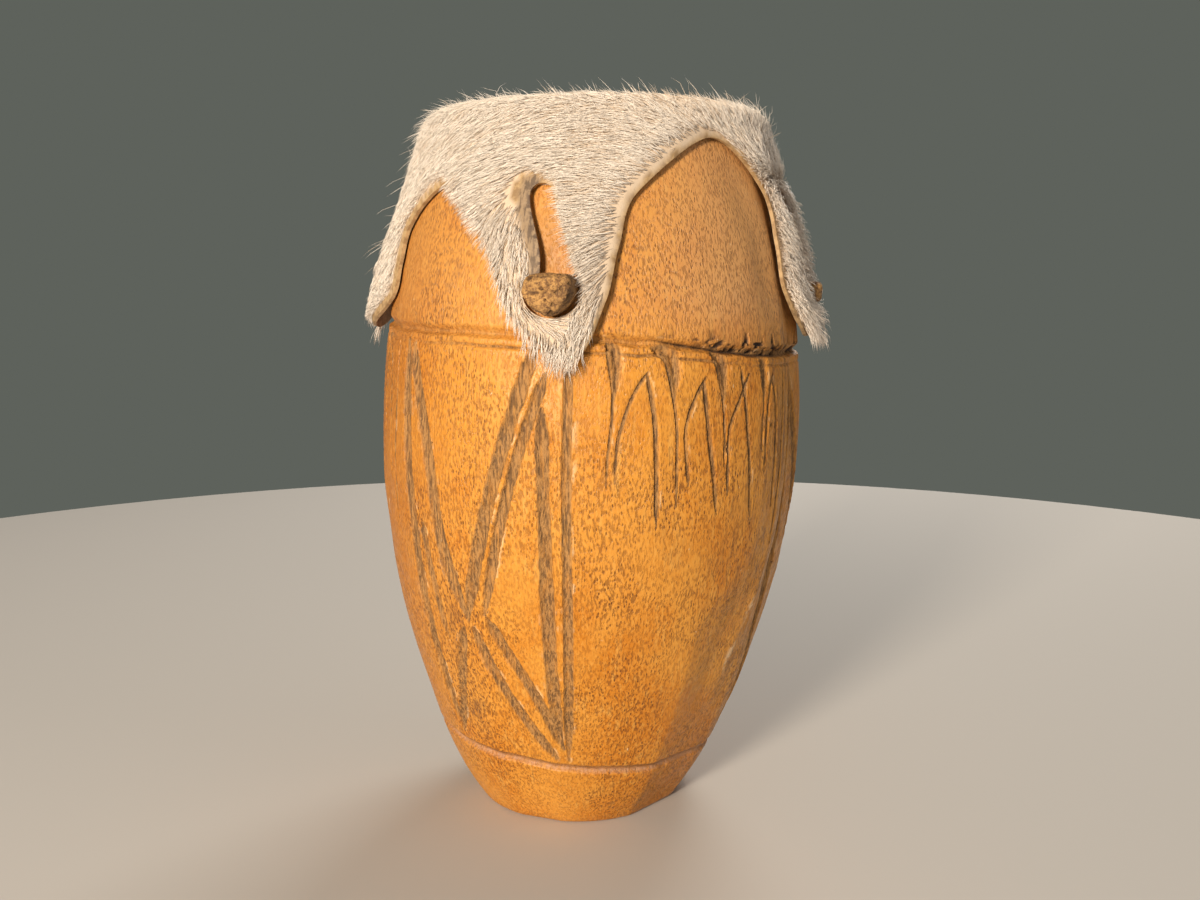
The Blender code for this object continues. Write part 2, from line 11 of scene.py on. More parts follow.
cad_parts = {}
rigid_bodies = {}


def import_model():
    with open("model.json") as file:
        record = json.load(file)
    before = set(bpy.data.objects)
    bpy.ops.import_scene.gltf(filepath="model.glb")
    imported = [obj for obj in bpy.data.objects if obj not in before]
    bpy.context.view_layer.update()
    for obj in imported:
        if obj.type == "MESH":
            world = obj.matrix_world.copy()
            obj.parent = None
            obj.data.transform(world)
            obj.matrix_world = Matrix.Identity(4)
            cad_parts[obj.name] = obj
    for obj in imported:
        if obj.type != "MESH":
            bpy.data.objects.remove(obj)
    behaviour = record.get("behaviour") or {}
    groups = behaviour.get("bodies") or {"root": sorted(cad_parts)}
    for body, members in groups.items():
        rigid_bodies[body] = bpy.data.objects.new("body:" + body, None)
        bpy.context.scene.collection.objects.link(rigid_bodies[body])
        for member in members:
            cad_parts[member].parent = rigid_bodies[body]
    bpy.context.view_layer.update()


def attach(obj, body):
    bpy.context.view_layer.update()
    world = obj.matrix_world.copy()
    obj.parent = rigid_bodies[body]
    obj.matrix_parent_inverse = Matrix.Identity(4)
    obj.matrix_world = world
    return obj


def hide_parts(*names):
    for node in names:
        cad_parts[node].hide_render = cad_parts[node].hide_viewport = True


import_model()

# A small carved drum with a pegged goat-hide head. +Z is up, azimuth 0 is the front (-Y)
# and grows towards +X, and lengths are in metres.
scene = bpy.context.scene


# Camera, floor and light

stageSettings = {
    "lens": 34.5,
    "sensorWidth": 36.0,
    "clipStart": 0.01,
    "cameraPlace": (0.00175, -0.2545, 0.114),
    "cameraPitch": 81.79,
    "floorRadius": 0.42,
    "floorMiddle": (0.0, 0.0, 0.0),
    "floorSides": 96,
    "floorColour": (0.56, 0.54, 0.51, 1.0),
    "floorRoughness": 0.85,
    "wallColour": (0.112, 0.122, 0.106, 1.0),
    "airColour": (1.0, 0.97, 0.93, 1.0),
    "airLight": 0.18,
    "exposure": 0.0,
}

# name: place, aim, width, power, colour
lamps = {
    "keyLight": ((-0.42, -0.84, 0.29), (0.0, 0.0, 0.07), 0.18, 12.6, (1.0, 0.86, 0.69)),
    "fillLight": ((0.80, -0.30, 0.35), (0.0, 0.0, 0.07), 0.60, 0.9, (1.0, 0.95, 0.88)),
    "backLight": ((0.25, 0.65, 0.62), (0.0, 0.0, 0.10), 0.40, 4.5, (1.0, 0.93, 0.84)),
}


def deselectAll():
    for obj in bpy.context.view_layer.objects:
        obj.select_set(False)


def makeActive(obj):
    deselectAll()
    obj.select_set(True)
    bpy.context.view_layer.objects.active = obj


def buildStage():
    s = stageSettings
    cameraData = bpy.data.cameras.new("camera")
    cameraData.lens = s["lens"]
    cameraData.sensor_width = s["sensorWidth"]
    cameraData.clip_start = s["clipStart"]
    camera = linkedObject("camera", cameraData)
    camera.location = s["cameraPlace"]
    camera.rotation_euler = (radians(s["cameraPitch"]), 0.0, 0.0)
    scene.camera = camera

    deselectAll()
    bpy.ops.mesh.primitive_circle_add(
        vertices=s["floorSides"], radius=s["floorRadius"], fill_type="NGON",
        location=s["floorMiddle"],
    )
    floor = bpy.context.object
    floor.name = "floor"
    paper = bpy.data.materials.new("floorPaper")
    paper.use_nodes = True
    shader = paper.node_tree.nodes["Principled BSDF"]
    shader.inputs["Base Color"].default_value = s["floorColour"]
    shader.inputs["Roughness"].default_value = s["floorRoughness"]
    floor.data.materials.append(paper)

    for name, (place, aim, width, power, colour) in lamps.items():
        data = bpy.data.lights.new(name, "AREA")
        data.size = width
        data.energy = power
        data.color = colour
        lamp = linkedObject(name, data)
        lamp.location = place
        away = Vector(place) - Vector(aim)
        lamp.rotation_euler = away.to_track_quat("Z", "Y").to_euler()

    # Soft even air light, with a quiet grey-green wall where the camera looks past the floor
    world = bpy.data.worlds.new("studio")
    world.use_nodes = True
    scene.world = world
    nodes, links = world.node_tree.nodes, world.node_tree.links
    nodes.clear()
    output = nodes.new("ShaderNodeOutputWorld")
    mix = nodes.new("ShaderNodeMixShader")
    seen = nodes.new("ShaderNodeLightPath")
    air = nodes.new("ShaderNodeBackground")
    air.inputs["Color"].default_value = s["airColour"]
    air.inputs["Strength"].default_value = s["airLight"]
    wall = nodes.new("ShaderNodeBackground")
    wall.inputs["Color"].default_value = s["wallColour"]
    links.new(seen.outputs["Is Camera Ray"], mix.inputs["Fac"])
    links.new(air.outputs[0], mix.inputs[1])
    links.new(wall.outputs[0], mix.inputs[2])
    links.new(mix.outputs[0], output.inputs["Surface"])
    scene.view_settings.view_transform = "Standard"
    scene.view_settings.exposure = s["exposure"]
    print("stage: camera, floor and lights")


# Small helpers for shapes

def smoothStep(value, start, length):
    share = np.clip((value - start) / length, 0.0, 1.0)
    return share * share * (3 - 2 * share)


def hump(value, middle, width):
    # a soft bell, 1 at the middle
    return np.exp(-(((value - middle) / width) ** 2))


def wrapTurn(azimuth):
    # an angle in degrees, brought between -180 and 180
    return (azimuth + 180) % 360 - 180


def curvePoint(a, b, c, d, t):
    # a smooth curve through four points, at the share t of the way from b to c
    curve = 2 * b + (c - a) * t + (2 * a - 5 * b + 4 * c - d) * t**2
    return 0.5 * (curve + (3 * b - a - 3 * c + d) * t**3)


def turnWays(ways, angle):
    # directions on the surface, each turned by its own angle
    east = ways[:, 0] * np.cos(angle) - ways[:, 1] * np.sin(angle)
    return np.stack([east, ways[:, 0] * np.sin(angle) + ways[:, 1] * np.cos(angle)], axis=1)


def hashed(cells, seed):
    mixed = np.full(cells.shape[:-1], seed * 7919 + 17, np.uint64)
    for i in range(cells.shape[-1]):
        mixed = (mixed ^ cells[..., i].astype(np.uint64)) * np.uint64(11400714819323198485)
        mixed = mixed ^ (mixed >> np.uint64(31))
    return (mixed >> np.uint64(40)).astype(float) / 2.0**24


def softNoise(points, size, seed):
    # smooth noise from -1 to 1; size is the width of its lumps, one number or one for each axis
    grid = points / np.array(size)
    base = np.floor(grid)
    part = grid - base
    part = part * part * (3 - 2 * part)
    cells = base.astype(np.int64)
    total = np.zeros(len(points))
    for corner in product((0, 1), repeat=points.shape[1]):
        steps = np.array(corner)
        weight = np.prod(np.where(steps == 1, part, 1 - part), axis=1)
        total += weight * hashed(cells + steps, seed)
    return total * 2 - 1


def readPoints(mesh):
    points = np.empty(len(mesh.vertices) * 3)
    mesh.vertices.foreach_get("co", points)
    return points.reshape(-1, 3)


def writePoints(mesh, points):
    mesh.vertices.foreach_set("co", np.asarray(points, np.float32).ravel())
    mesh.update()


def writeAttribute(mesh, name, values):
    attribute = mesh.attributes.get(name) or mesh.attributes.new(name, "FLOAT", "POINT")
    attribute.data.foreach_set("value", np.asarray(values, np.float32))


def linkedObject(name, mesh):
    obj = bpy.data.objects.new(name, mesh)
    scene.collection.objects.link(obj)
    return obj


def faceOutwards(obj):
    makeActive(obj)
    bpy.ops.object.mode_set(mode="EDIT")
    bpy.ops.mesh.select_all(action="SELECT")
    bpy.ops.mesh.normals_make_consistent(inside=False)
    bpy.ops.object.mode_set(mode="OBJECT")
    bpy.ops.object.shade_smooth()


def finishPiece(obj, node, material):
    obj.data.materials.clear()
    obj.data.materials.append(material)
    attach(obj, "root")
    if node:
        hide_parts(node)
    count = sum(len(face.vertices) - 2 for face in obj.data.polygons)
    print(f"{obj.name}: {count} triangles")


# The drum's turned form, with the same sizes as its solid

form = {
    "footRadius": 0.0225,
    "footEdge": 0.0008,
    "footRingHeight": 0.0158,
    "footRingRadius": 0.0312,
    "bellyHeight": 0.083,
    "bellyRadius": 0.0457,
    "rimHeight": 0.1468,
    "rimRadius": 0.0340,
    "rimEdge": 0.0010,
    "footSlope": 0.74,
    "footRingSlope": 0.41,
    "rimSlope": -0.38,
    "lean": 0.028,
    "bow": 0.0006,
    "wall": 0.0085,
    "rimWall": 0.0068,
    "boreRadius": 0.0130,
    "boreHeight": 0.020,
    "chamberFloor": 0.038,
    "ringHeight": 0.1038,
    "ringTilt": -4.1,
    "ringWobble": 0.0006,
    "footRingTilt": -5.0,
    "flatFade": 0.014,
    "flatReach": 40.0,
    "pegHeight": 0.1125,
}

# adze flats: azimuth, depth, and the heights between which each runs
flats = (
    (69.0, 0.0007, 0.030, 0.150),
    (47.0, 0.0012, -0.010, 0.058),
    (118.0, 0.0010, 0.020, 0.150),
    (160.0, 0.0013, -0.010, 0.090),
    (-150.0, 0.0011, 0.030, 0.150),
    (-116.0, 0.0009, -0.010, 0.080),
    (-20.0, 0.0006, -0.010, 0.055),
)


def hermite(low, high, lowSlope, highSlope, z):
    run = high[0] - low[0]
    t = (z - low[0]) / run
    rise = (high[1] - low[1]) * (3 * t**2 - 2 * t**3)
    return low[1] + rise + run * (lowSlope * (t**3 - 2 * t**2 + t) + highSlope * (t**3 - t**2))


def turnedRadius(z):
    z = np.clip(np.asarray(z, float), 0.0, form["rimHeight"])
    foot = (0.0, form["footRadius"])
    ring = (form["footRingHeight"], form["footRingRadius"])
    belly = (form["bellyHeight"], form["bellyRadius"])
    rim = (form["rimHeight"], form["rimRadius"])
    low = hermite(foot, ring, form["footSlope"], form["footRingSlope"], z)
    middle = hermite(ring, belly, form["footRingSlope"], 0.0, z)
    high = hermite(belly, rim, 0.0, form["rimSlope"], z)
    return np.where(z < ring[0], low, np.where(z < belly[0], middle, high))


def axisX(z):
    share = z / form["rimHeight"]
    return form["lean"] * (z - form["pegHeight"]) + 4 * form["bow"] * share * (1 - share)


def woodRadius(z, azimuth):
    z, azimuth = np.broadcast_arrays(np.asarray(z, float), np.asarray(azimuth, float))
    full = turnedRadius(z)
    radius = full.copy()
    for middle, depth, low, high in flats:
        away = wrapTurn(azimuth - middle)
        there = smoothStep(z, low, form["flatFade"])
        there = there * (1 - smoothStep(z, high - form["flatFade"], form["flatFade"]))
        reach = form["flatReach"]
        flat = (full - depth * there) / np.cos(np.radians(np.clip(away, -reach, reach)))
        radius = np.where(np.abs(away) < reach, np.minimum(radius, flat), radius)
    return radius


def place(z, azimuth, radius):
    turn = np.radians(azimuth)
    x = axisX(z) + radius * np.sin(turn)
    return np.stack(np.broadcast_arrays(x, -radius * np.cos(turn), z), axis=-1)


def upperRing(azimuth):
    side = np.sin(np.radians(azimuth)) * turnedRadius(form["ringHeight"])
    level = form["ringHeight"] + np.tan(radians(form["ringTilt"])) * side
    return level + form["ringWobble"] * np.cos(np.radians(3 * azimuth))


def footRing(azimuth):
    side = np.sin(np.radians(azimuth)) * form["footRingRadius"]
    return form["footRingHeight"] + np.tan(radians(form["footRingTilt"])) * side


def panelHeight(azimuth, share):
    low, high = footRing(azimuth), upperRing(azimuth)
    return low + share * (high - low)


def rowHeight(azimuth, z):
    # rows are level at the floor and the rim, and tilted along with the two rings
    foot, ring, rim = form["footRingHeight"], form["ringHeight"], form["rimHeight"]
    drop, rise = footRing(azimuth) - foot, upperRing(azimuth) - ring
    share = (z - foot) / (ring - foot)
    low = z + drop * z / foot
    middle = z + drop + (rise - drop) * share
    high = z + rise * (rim - z) / (rim - ring)
    return np.where(z <= foot, low, np.where(z <= ring, middle, high))


def hollowRadius(z):
    share = np.clip((z - form["chamberFloor"]) / (form["rimHeight"] - form["chamberFloor"]), 0, 1)
    wall = form["wall"] + (form["rimWall"] - form["wall"]) * share
    opened = smoothStep(z, form["boreHeight"], form["chamberFloor"] - form["boreHeight"])
    return form["boreRadius"] + (turnedRadius(z) - wall - form["boreRadius"]) * opened


# Carving: each stroke has a width, a depth, and points of azimuth and of height
# from the foot ring (0) to the upper ring (1)

carving = {
    "strokeWidth": 0.0021,
    "strokeDepth": 0.00062,
    "deepestStroke": 1.2,
    "strokeSpread": 0.16,
    "strokeFlatness": 4.5,
    "lineWidth": 0.00102,
    "lineDepth": 0.00052,
    "lineSpread": 0.22,
    "lineFloor": 0.45,
    "notchWidth": 0.0035,
    "notchDepth": 0.0013,
    "notchTaper": 0.84,
    "notchFloor": 0.40,
    "steepWall": 0.00020,
    "lipWidth": 0.0003,
    "lipGap": 0.00014,
    "rowSlip": 0.5,
    "leastRadius": 0.030,
    "ringWidth": 0.0026,
    "ringDepth": 0.0011,
    "ringSag": 0.35,
    "fineLineDrop": 0.0026,
    "fineLineWidth": 0.0010,
    "fineLineDepth": 0.0005,
    "footRingWidth": 0.0024,
    "footRingDepth": 0.0009,
    "footRingSag": 0.2,
}
# how far each kind of cut takes on the colour of cut wood; in a notch this darkening is partly painted shadow
# from its steep left wall
cutShades = {"line": 0.90, "scrape": 0.86, "notch": 0.80}

crossStrokes = (
    (1.6, ((-54.3, 0.97), (-53.4, 0.79), (-51.9, 0.56), (-50.6, 0.28), (-48.4, 0.03))),
    (1.6, ((-51.8, 0.96), (-44.0, 0.73), (-39.9, 0.51), (-33.6, 0.355))),
    (1.55, ((-13.7, 0.97), (-21.4, 0.745), (-27.8, 0.54), (-33.5, 0.36))),
    (1.2, ((-10.7, 0.92), (-18.1, 0.71), (-27.8, 0.375))),
    (1.2, ((-35.8, 0.33), (-40.9, 0.185), (-47.4, 0.045))),
    (1.15, ((-32.0, 0.335), (-26.6, 0.22), (-18.5, 0.115), (-7.7, 0.02))),
    (1.15, ((-27.3, 0.365), (-21.6, 0.28), (-13.6, 0.175), (-5.6, 0.055))),
    (1.35, ((-11.5, 0.845), (-10.2, 0.555), (-8.9, 0.235), (-6.6, 0.07))),
    (1.0, ((-5.2, 0.96), (-5.2, 0.70), (-4.2, 0.34), (-3.9, 0.02))),
)
slipStroke = (1.0, ((-47.6, 0.56), (-42.9, 0.29)))

# the row of lancets: kind, width and points; a notch is a chip scooped out to the right of its line
lancetStrokes = (
    ("notch", 1.0, ((3.6, 0.965), (4.5, 0.926), (5.1, 0.875))),
    ("line", 0.7, ((3.5, 0.974), (4.5, 0.926), (5.1, 0.887), (5.1, 0.835), (4.4, 0.761), (4.0, 0.690))),
    ("line", 0.9, ((13.5, 0.938), (10.9, 0.902), (9.1, 0.867), (7.7, 0.827), (6.5, 0.783), (6.1, 0.700))),
    ("line", 1.2, ((13.3, 0.932), (14.4, 0.886), (15.3, 0.84), (15.7, 0.794), (16.0, 0.744), (16.8, 0.610))),
    ("notch", 1.15, ((16.9, 0.965), (18.0, 0.955), (19.0, 0.923), (19.8, 0.885))),
    ("line", 0.75, ((16.5, 0.979), (18.0, 0.955), (19.8, 0.89), (20.9, 0.824), (21.1, 0.762), (21.6, 0.655))),
    ("line", 0.9, ((28.6, 0.936), (26.7, 0.907), (24.8, 0.872), (23.8, 0.845), (23.2, 0.804), (24.5, 0.700))),
    ("line", 1.2, ((28.0, 0.926), (28.7, 0.884), (29.5, 0.833), (30.3, 0.781), (31.5, 0.729), (33.3, 0.640))),
    ("notch", 1.05, ((31.2, 0.965), (31.9, 0.954), (33.0, 0.92), (33.7, 0.886))),
    ("line", 0.7, ((30.7, 0.982), (31.9, 0.954), (33.7, 0.886), (34.3, 0.818), (34.6, 0.74))),
    ("line", 1.0, ((42.6, 0.95), (40.3, 0.91), (38.4, 0.877), (36.5, 0.842), (35.6, 0.799), (36.2, 0.68))),
    ("line", 1.1, ((39.4, 0.965), (40.8, 0.911), (41.7, 0.863), (42.4, 0.817), (43.3, 0.764), (46.0, 0.61))),
    ("notch", 0.9, ((46.9, 0.965), (47.6, 0.94), (48.3, 0.89))),
    ("line", 0.7, ((46.8, 0.98), (47.8, 0.93), (48.4, 0.899), (48.1, 0.848), (47.9, 0.77))),
    ("line", 0.9, ((52.9, 0.955), (51.0, 0.91), (50.0, 0.85), (49.8, 0.73))),
    ("line", 1.1, ((52.5, 0.945), (54.2, 0.88), (55.3, 0.78), (56.2, 0.64))),
    ("line", 1.0, ((59.6, 0.97), (59.3, 0.80), (58.6, 0.55))),
)


def smoothPath(points, between=6):
    # a smooth open line through the points
    given = np.array(points, float)
    padded = np.vstack([2 * given[0] - given[1], given, 2 * given[-1] - given[-2]])
    made = []
    for a, b, c, d in zip(padded, padded[1:], padded[2:], padded[3:]):
        for k in range(between):
            made.append(curvePoint(a, b, c, d, k / between))
    made.append(given[-1])
    return np.array(made)


def allStrokes():
    # kind, width, depth and the smooth path of every stroke on the drum
    c = carving
    made = []
    for pair in range(3):
        start = 120.0 * pair
        strokes = crossStrokes + ((slipStroke,) if pair == 0 else ())
        for weight, points in strokes:
            moved = [(azimuth + start, share) for azimuth, share in points]
            depth = c["strokeDepth"] * min(weight, c["deepestStroke"])
            made.append(("scrape", c["strokeWidth"] * weight, depth, moved))
        for number, (kind, weight, points) in enumerate(lancetStrokes):
            # the two rows behind are cut by the same hand, never quite alike
            slip = c["rowSlip"] * sin(number * 2.3 + pair * 1.7) if pair else 0.0
            moved = [(azimuth + start + slip, share) for azimuth, share in points]
            width = c["notchWidth"] * weight if kind == "notch" else c["lineWidth"] * weight
            depth = c["notchDepth"] if kind == "notch" else c["lineDepth"] * (0.6 + 0.4 * weight)
            made.append((kind, width, depth, moved))
    return [(kind, width, depth, smoothPath(points)) for kind, width, depth, points in made]


def nearestOnPath(azimuth, z, path):
    # signed distance (+ to the right of the way it runs) and share of the length, for each point
    pathZ = panelHeight(path[:, 0], path[:, 1])
    lengths = np.hypot(
        np.radians(np.diff(path[:, 0])) * turnedRadius(pathZ[:-1]), np.diff(pathZ)
    )
    begin = np.concatenate([[0.0], np.cumsum(lengths)])
    best = np.full(len(z), 1.0)
    side = np.zeros(len(z))
    share = np.zeros(len(z))
    radius = turnedRadius(z)
    for i in range(len(path) - 1):
        middle = (path[i, 0] + path[i + 1, 0]) / 2
        x = np.radians(wrapTurn(azimuth - middle)) * radius
        ax = radians(path[i, 0] - middle) * float(turnedRadius(pathZ[i]))
        bx = radians(path[i + 1, 0] - middle) * float(turnedRadius(pathZ[i + 1]))
        dx, dz = bx - ax, pathZ[i + 1] - pathZ[i]
        square = dx * dx + dz * dz
        t = np.clip(((x - ax) * dx + (z - pathZ[i]) * dz) / square, 0, 1)
        offX, offZ = x - ax - t * dx, z - pathZ[i] - t * dz
        distance = np.hypot(offX, offZ)
        nearer = distance < best
        best = np.where(nearer, distance, best)
        side = np.where(nearer, np.sign(dz * offX - dx * offZ), side)
        share = np.where(nearer, (begin[i] + t * lengths[i]) / begin[-1], share)
    return best, side, share


# a worn arris between two adze flats, as azimuth and share of the panel's height
arris = {
    "points": (
        (52, 1.42), (58, 1.22), (64, 1.02), (65, 0.9), (64, 0.8),
        (62, 0.6), (58, 0.42), (54, 0.28), (50, 0.10),
    ),
    "cutLeft": 0.0006,
    "cutRight": 0.00035,
    "flatWidth": 0.0045,
    "flatFade": 0.007,
    "edge": 0.0005,
    "edgeWidening": 0.0006,
    "margin": 0.012,
}


def arrisField(azimuth, z):
    # how far the wood is cut back on both sides of the arris, and its worn edge, which the colour paints pale
    # as wear and as a painted highlight
    path = smoothPath(arris["points"])
    chosen = strokeCandidates(azimuth, z, path, arris["margin"])
    cutBack = np.zeros(len(z))
    edge = np.zeros(len(z))
    distance, side, share = nearestOnPath(azimuth[chosen], z[chosen], path)
    ends = smoothStep(share, 0.0, 0.06) * (1 - smoothStep(share, 0.92, 0.08))
    most = np.where(side < 0, arris["cutLeft"], arris["cutRight"])
    faded = 1 - smoothStep(distance, arris["flatWidth"], arris["flatFade"])
    cutBack[chosen] = ends * most * np.clip(distance / arris["flatWidth"], 0, 1) * faded
    edgeWidth = arris["edge"] + arris["edgeWidening"] * smoothStep(share, 0.70, 0.15)
    edge[chosen] = ends * np.clip(1.6 - 1.6 * distance / edgeWidth, 0, 1)
    return cutBack, edge


def strokeCandidates(azimuth, z, path, margin):
    # the points that may lie within the margin of a stroke
    pathZ = panelHeight(path[:, 0], path[:, 1])
    middle = (path[:, 0].min() + path[:, 0].max()) / 2
    reach = (path[:, 0].max() - path[:, 0].min()) / 2
    reach = reach + np.degrees(margin / carving["leastRadius"])
    away = np.abs(wrapTurn(azimuth - middle))
    near = (away < reach) & (z > pathZ.min() - margin) & (z < pathZ.max() + margin)
    return np.nonzero(near)[0]


def notchShape(width, depth, distance, side, share, wave):
    # a chip: steep on its left, deepest near it, and running out to the right
    c = carving
    wall, floor = c["steepWall"], c["notchFloor"]
    half = width * (1.0 - c["notchTaper"] * share**1.2)
    signed = distance * side * -1
    across = signed / half
    ramp = np.where(across < floor, across / floor, (1 - across) / (1 - floor))
    ramp = np.where(across < 0, 1 + signed / wall, np.maximum(ramp, 0.45 * (across < 0.18)))
    full = depth * (0.9 + 0.25 * wave) * np.clip(1.15 - share, 0.25, 1.0)
    cutDepth = full * np.clip(ramp, 0, 1) * np.where(across < 0, 0.45, 1)
    # the colour mask: cut wood, and painted shadow cast by the steep left wall, dark over the chip's inner
    # half and fading to its right edge
    mask = np.where(across < 0, 1 + signed / wall, 1 - smoothStep(across, 0.55, 0.45))
    return half, cutDepth, np.clip(mask, 0, 1)


def strokeTaper(share):
    ends = smoothStep(share, -0.02, 0.10) * (1 - smoothStep(share, 0.86, 0.16))
    return 0.30 + 0.70 * ends


def lineShape(width, depth, distance, side, share, wave):
    # a thin line, cut with the blade held to the right
    c = carving
    floor = c["lineFloor"]
    taper = strokeTaper(share)
    half = width / 2 * taper * (1 + c["lineSpread"] * wave)
    full = depth * (0.45 + 0.55 * taper) * (1 + 0.20 * wave)
    signed = np.clip(-side * distance / half, -1, 1)
    flank = np.where(signed > -floor, 1 - (signed + floor) / (1 + floor), (1 + signed) / (1 - floor))
    cutDepth = full * 1.25 * np.clip(flank, 0, 1) ** 0.9
    return half, cutDepth, np.clip(flank * 2.2, 0, 1) * (distance < half)


def scrapeShape(width, depth, distance, side, share, wave, tilt):
    # a broad band with a nearly flat floor that leans a little
    c = carving
    taper = strokeTaper(share)
    half = width / 2 * taper * (1 + c["strokeSpread"] * wave)
    full = depth * (0.45 + 0.55 * taper) * (1 + 0.20 * wave)
    across = np.clip(distance / half, 0, 1)
    slant = 1 + 0.28 * side * across * np.sin(tilt)
    cutDepth = full * np.clip(1 - across ** c["strokeFlatness"], 0, 1) * slant
    return half, cutDepth, 1 - smoothStep(distance, half * 0.78, half * 0.34)


def strokeField(azimuth, z, strokes):
    # at each point: the depth cut, how far it is cut wood, and how far a raised lip, whose pale colour is
    # wear and a painted highlight
    c = carving
    depthOut = np.zeros(len(z))
    cutOut = np.zeros(len(z))
    lipAndHighlightOut = np.zeros(len(z))
    for number, (kind, width, depth, path) in enumerate(strokes):
        chosen = strokeCandidates(azimuth, z, path, width + 0.001)
        if not len(chosen):
            continue
        distance, side, share = nearestOnPath(azimuth[chosen], z[chosen], path)
        along = np.stack([share * 40 + number * 3.7, np.full(len(share), number * 1.3)], axis=1)
        wave = softNoise(along, 1.6, 11) * 0.5 + softNoise(along, 0.5, 12) * 0.5
        cutFacts = (width, depth, distance, side, share, wave)
        if kind == "notch":
            half, cutDepth, mask = notchShape(*cutFacts)
        elif kind == "line":
            half, cutDepth, mask = lineShape(*cutFacts)
        else:
            half, cutDepth, mask = scrapeShape(*cutFacts, number * 2.4 + 0.7)
        lipAndHighlight = np.abs(distance - half - c["lipGap"]) / np.minimum(half * 0.35, c["lipWidth"])
        lipAndHighlight = np.clip(1 - lipAndHighlight, 0, 1) * np.where(side < 0, 1.0, 0.35 if kind == "scrape" else 0.0)
        depthOut[chosen] = np.maximum(depthOut[chosen], cutDepth)
        cutOut[chosen] = np.maximum(cutOut[chosen], mask * cutShades[kind])
        lipAndHighlightOut[chosen] = np.maximum(lipAndHighlightOut[chosen], lipAndHighlight)
    return depthOut, cutOut, lipAndHighlightOut


def grooveField(offset, width, depth, low):
    # a groove's depth at a height above its middle, deepest at the share low below it
    v = offset / (width / 2)
    above = np.clip((1 - v) / (1 + low), 0, 1)
    under = np.clip((1 + v) / (1 - low), 0, 1)
    shape = np.where(v > -low, smoothStep(above, 0, 1), smoothStep(under, 0, 1) ** 0.7)
    return depth * shape * (np.abs(v) < 1)


# The carved body

bodyMesh = {
    "frontStep": 1.18,
    "backStep": 1.95,
    "frontReach": 98.0,
    "finestWithin": 74.0,
    "footRow": 0.0016,
    "panelRow": 0.00115,
    "ringRow": 0.00040,
    "ringMargin": 0.0002,
    "upperRow": 0.0019,
    "chamberRow": 0.009,
    "boreRow": 0.0022,
    "boreRows": (0.012, 0.0008),
    "strokeMargin": 0.0007,
    "lineMargin": 0.0002,
    "notchCore": 0.0009,
    "scrapeEdge": 0.00032,
    "ringBelow": 0.0040,
    "ringAbove": 0.0022,
    "footRingReach": 0.0016,
    "smoothAngle": 50.0,
}


def spreadRows(low, high, step, ends=True):
    count = max(1, round((high - low) / step))
    rows = [low + (high - low) * i / count for i in range(count + 1)]
    return rows if ends else rows[1:-1]


def bodyRows():
    # each row's height, its side (1 outside, 0 hollow) and how far it is set in
    f, c, m = form, carving, bodyMesh
    edge, rim, top = f["footEdge"], f["rimEdge"], f["rimHeight"]
    footLow = f["footRingHeight"] - c["footRingWidth"] / 2 - m["ringMargin"]
    footHigh = f["footRingHeight"] + c["footRingWidth"] / 2 + m["ringMargin"]
    ringLow = f["ringHeight"] - c["fineLineDrop"] - c["fineLineWidth"]
    ringHigh = f["ringHeight"] + c["ringWidth"] / 2 + 2 * m["ringMargin"]
    heights = spreadRows(edge, footLow, m["footRow"], False)
    heights += spreadRows(footLow, footHigh, m["ringRow"])
    heights += spreadRows(footHigh, ringLow, m["panelRow"], False)
    heights += spreadRows(ringLow, ringHigh, m["ringRow"])
    heights += spreadRows(ringHigh, top - rim, m["upperRow"], False)
    rows = [(0.0, 1, edge), (0.3 * edge, 1, 0.3 * edge), (edge, 1, 0.0)]
    rows += [(z, 1, 0.0) for z in heights]
    rows += [(top - rim, 1, 0.0), (top - 0.3 * rim, 1, 0.3 * rim), (top, 1, rim)]
    inside = spreadRows(f["chamberFloor"], top - rim, m["chamberRow"])[-2::-1]
    inside += spreadRows(f["boreHeight"], f["chamberFloor"], m["boreRow"])[-2::-1]
    rows += [(top, 0, rim), (top - rim, 0, 0.0)]
    rows += [(z, 0, 0.0) for z in inside + list(m["boreRows"])]
    rows += [(0.0, 0, edge)]
    return rows


def isOutside(points):
    # the azimuth of each point, and whether it lies on the outside of the wall
    azimuth = np.degrees(np.arctan2(points[:, 0] - axisX(points[:, 2]), -points[:, 1]))
    reach = np.hypot(points[:, 0] - axisX(points[:, 2]), points[:, 1])
    between = (hollowRadius(points[:, 2]) + woodRadius(points[:, 2], azimuth)) / 2
    return azimuth, reach > between


def subdivideNear(obj, wanted):
    # one more level of faces where wanted(azimuth, height) says so, on the outside only
    mesh = obj.data
    middles = np.empty(len(mesh.polygons) * 3)
    mesh.polygons.foreach_get("center", middles)
    middles = middles.reshape(-1, 3)
    azimuth, outside = isOutside(middles)
    chosen = wanted(azimuth, middles[:, 2]) & outside
    makeActive(obj)
    bpy.ops.object.mode_set(mode="EDIT")
    bpy.ops.mesh.select_mode(type="FACE")
    bpy.ops.object.mode_set(mode="OBJECT")
    mesh.vertices.foreach_set("select", np.zeros(len(mesh.vertices), bool))
    mesh.edges.foreach_set("select", np.zeros(len(mesh.edges), bool))
    mesh.polygons.foreach_set("select", chosen)
    bpy.ops.object.mode_set(mode="EDIT")
    bpy.ops.mesh.subdivide(number_cuts=1, quadcorner="INNERVERT", ngon=False)
    bpy.ops.object.mode_set(mode="OBJECT")


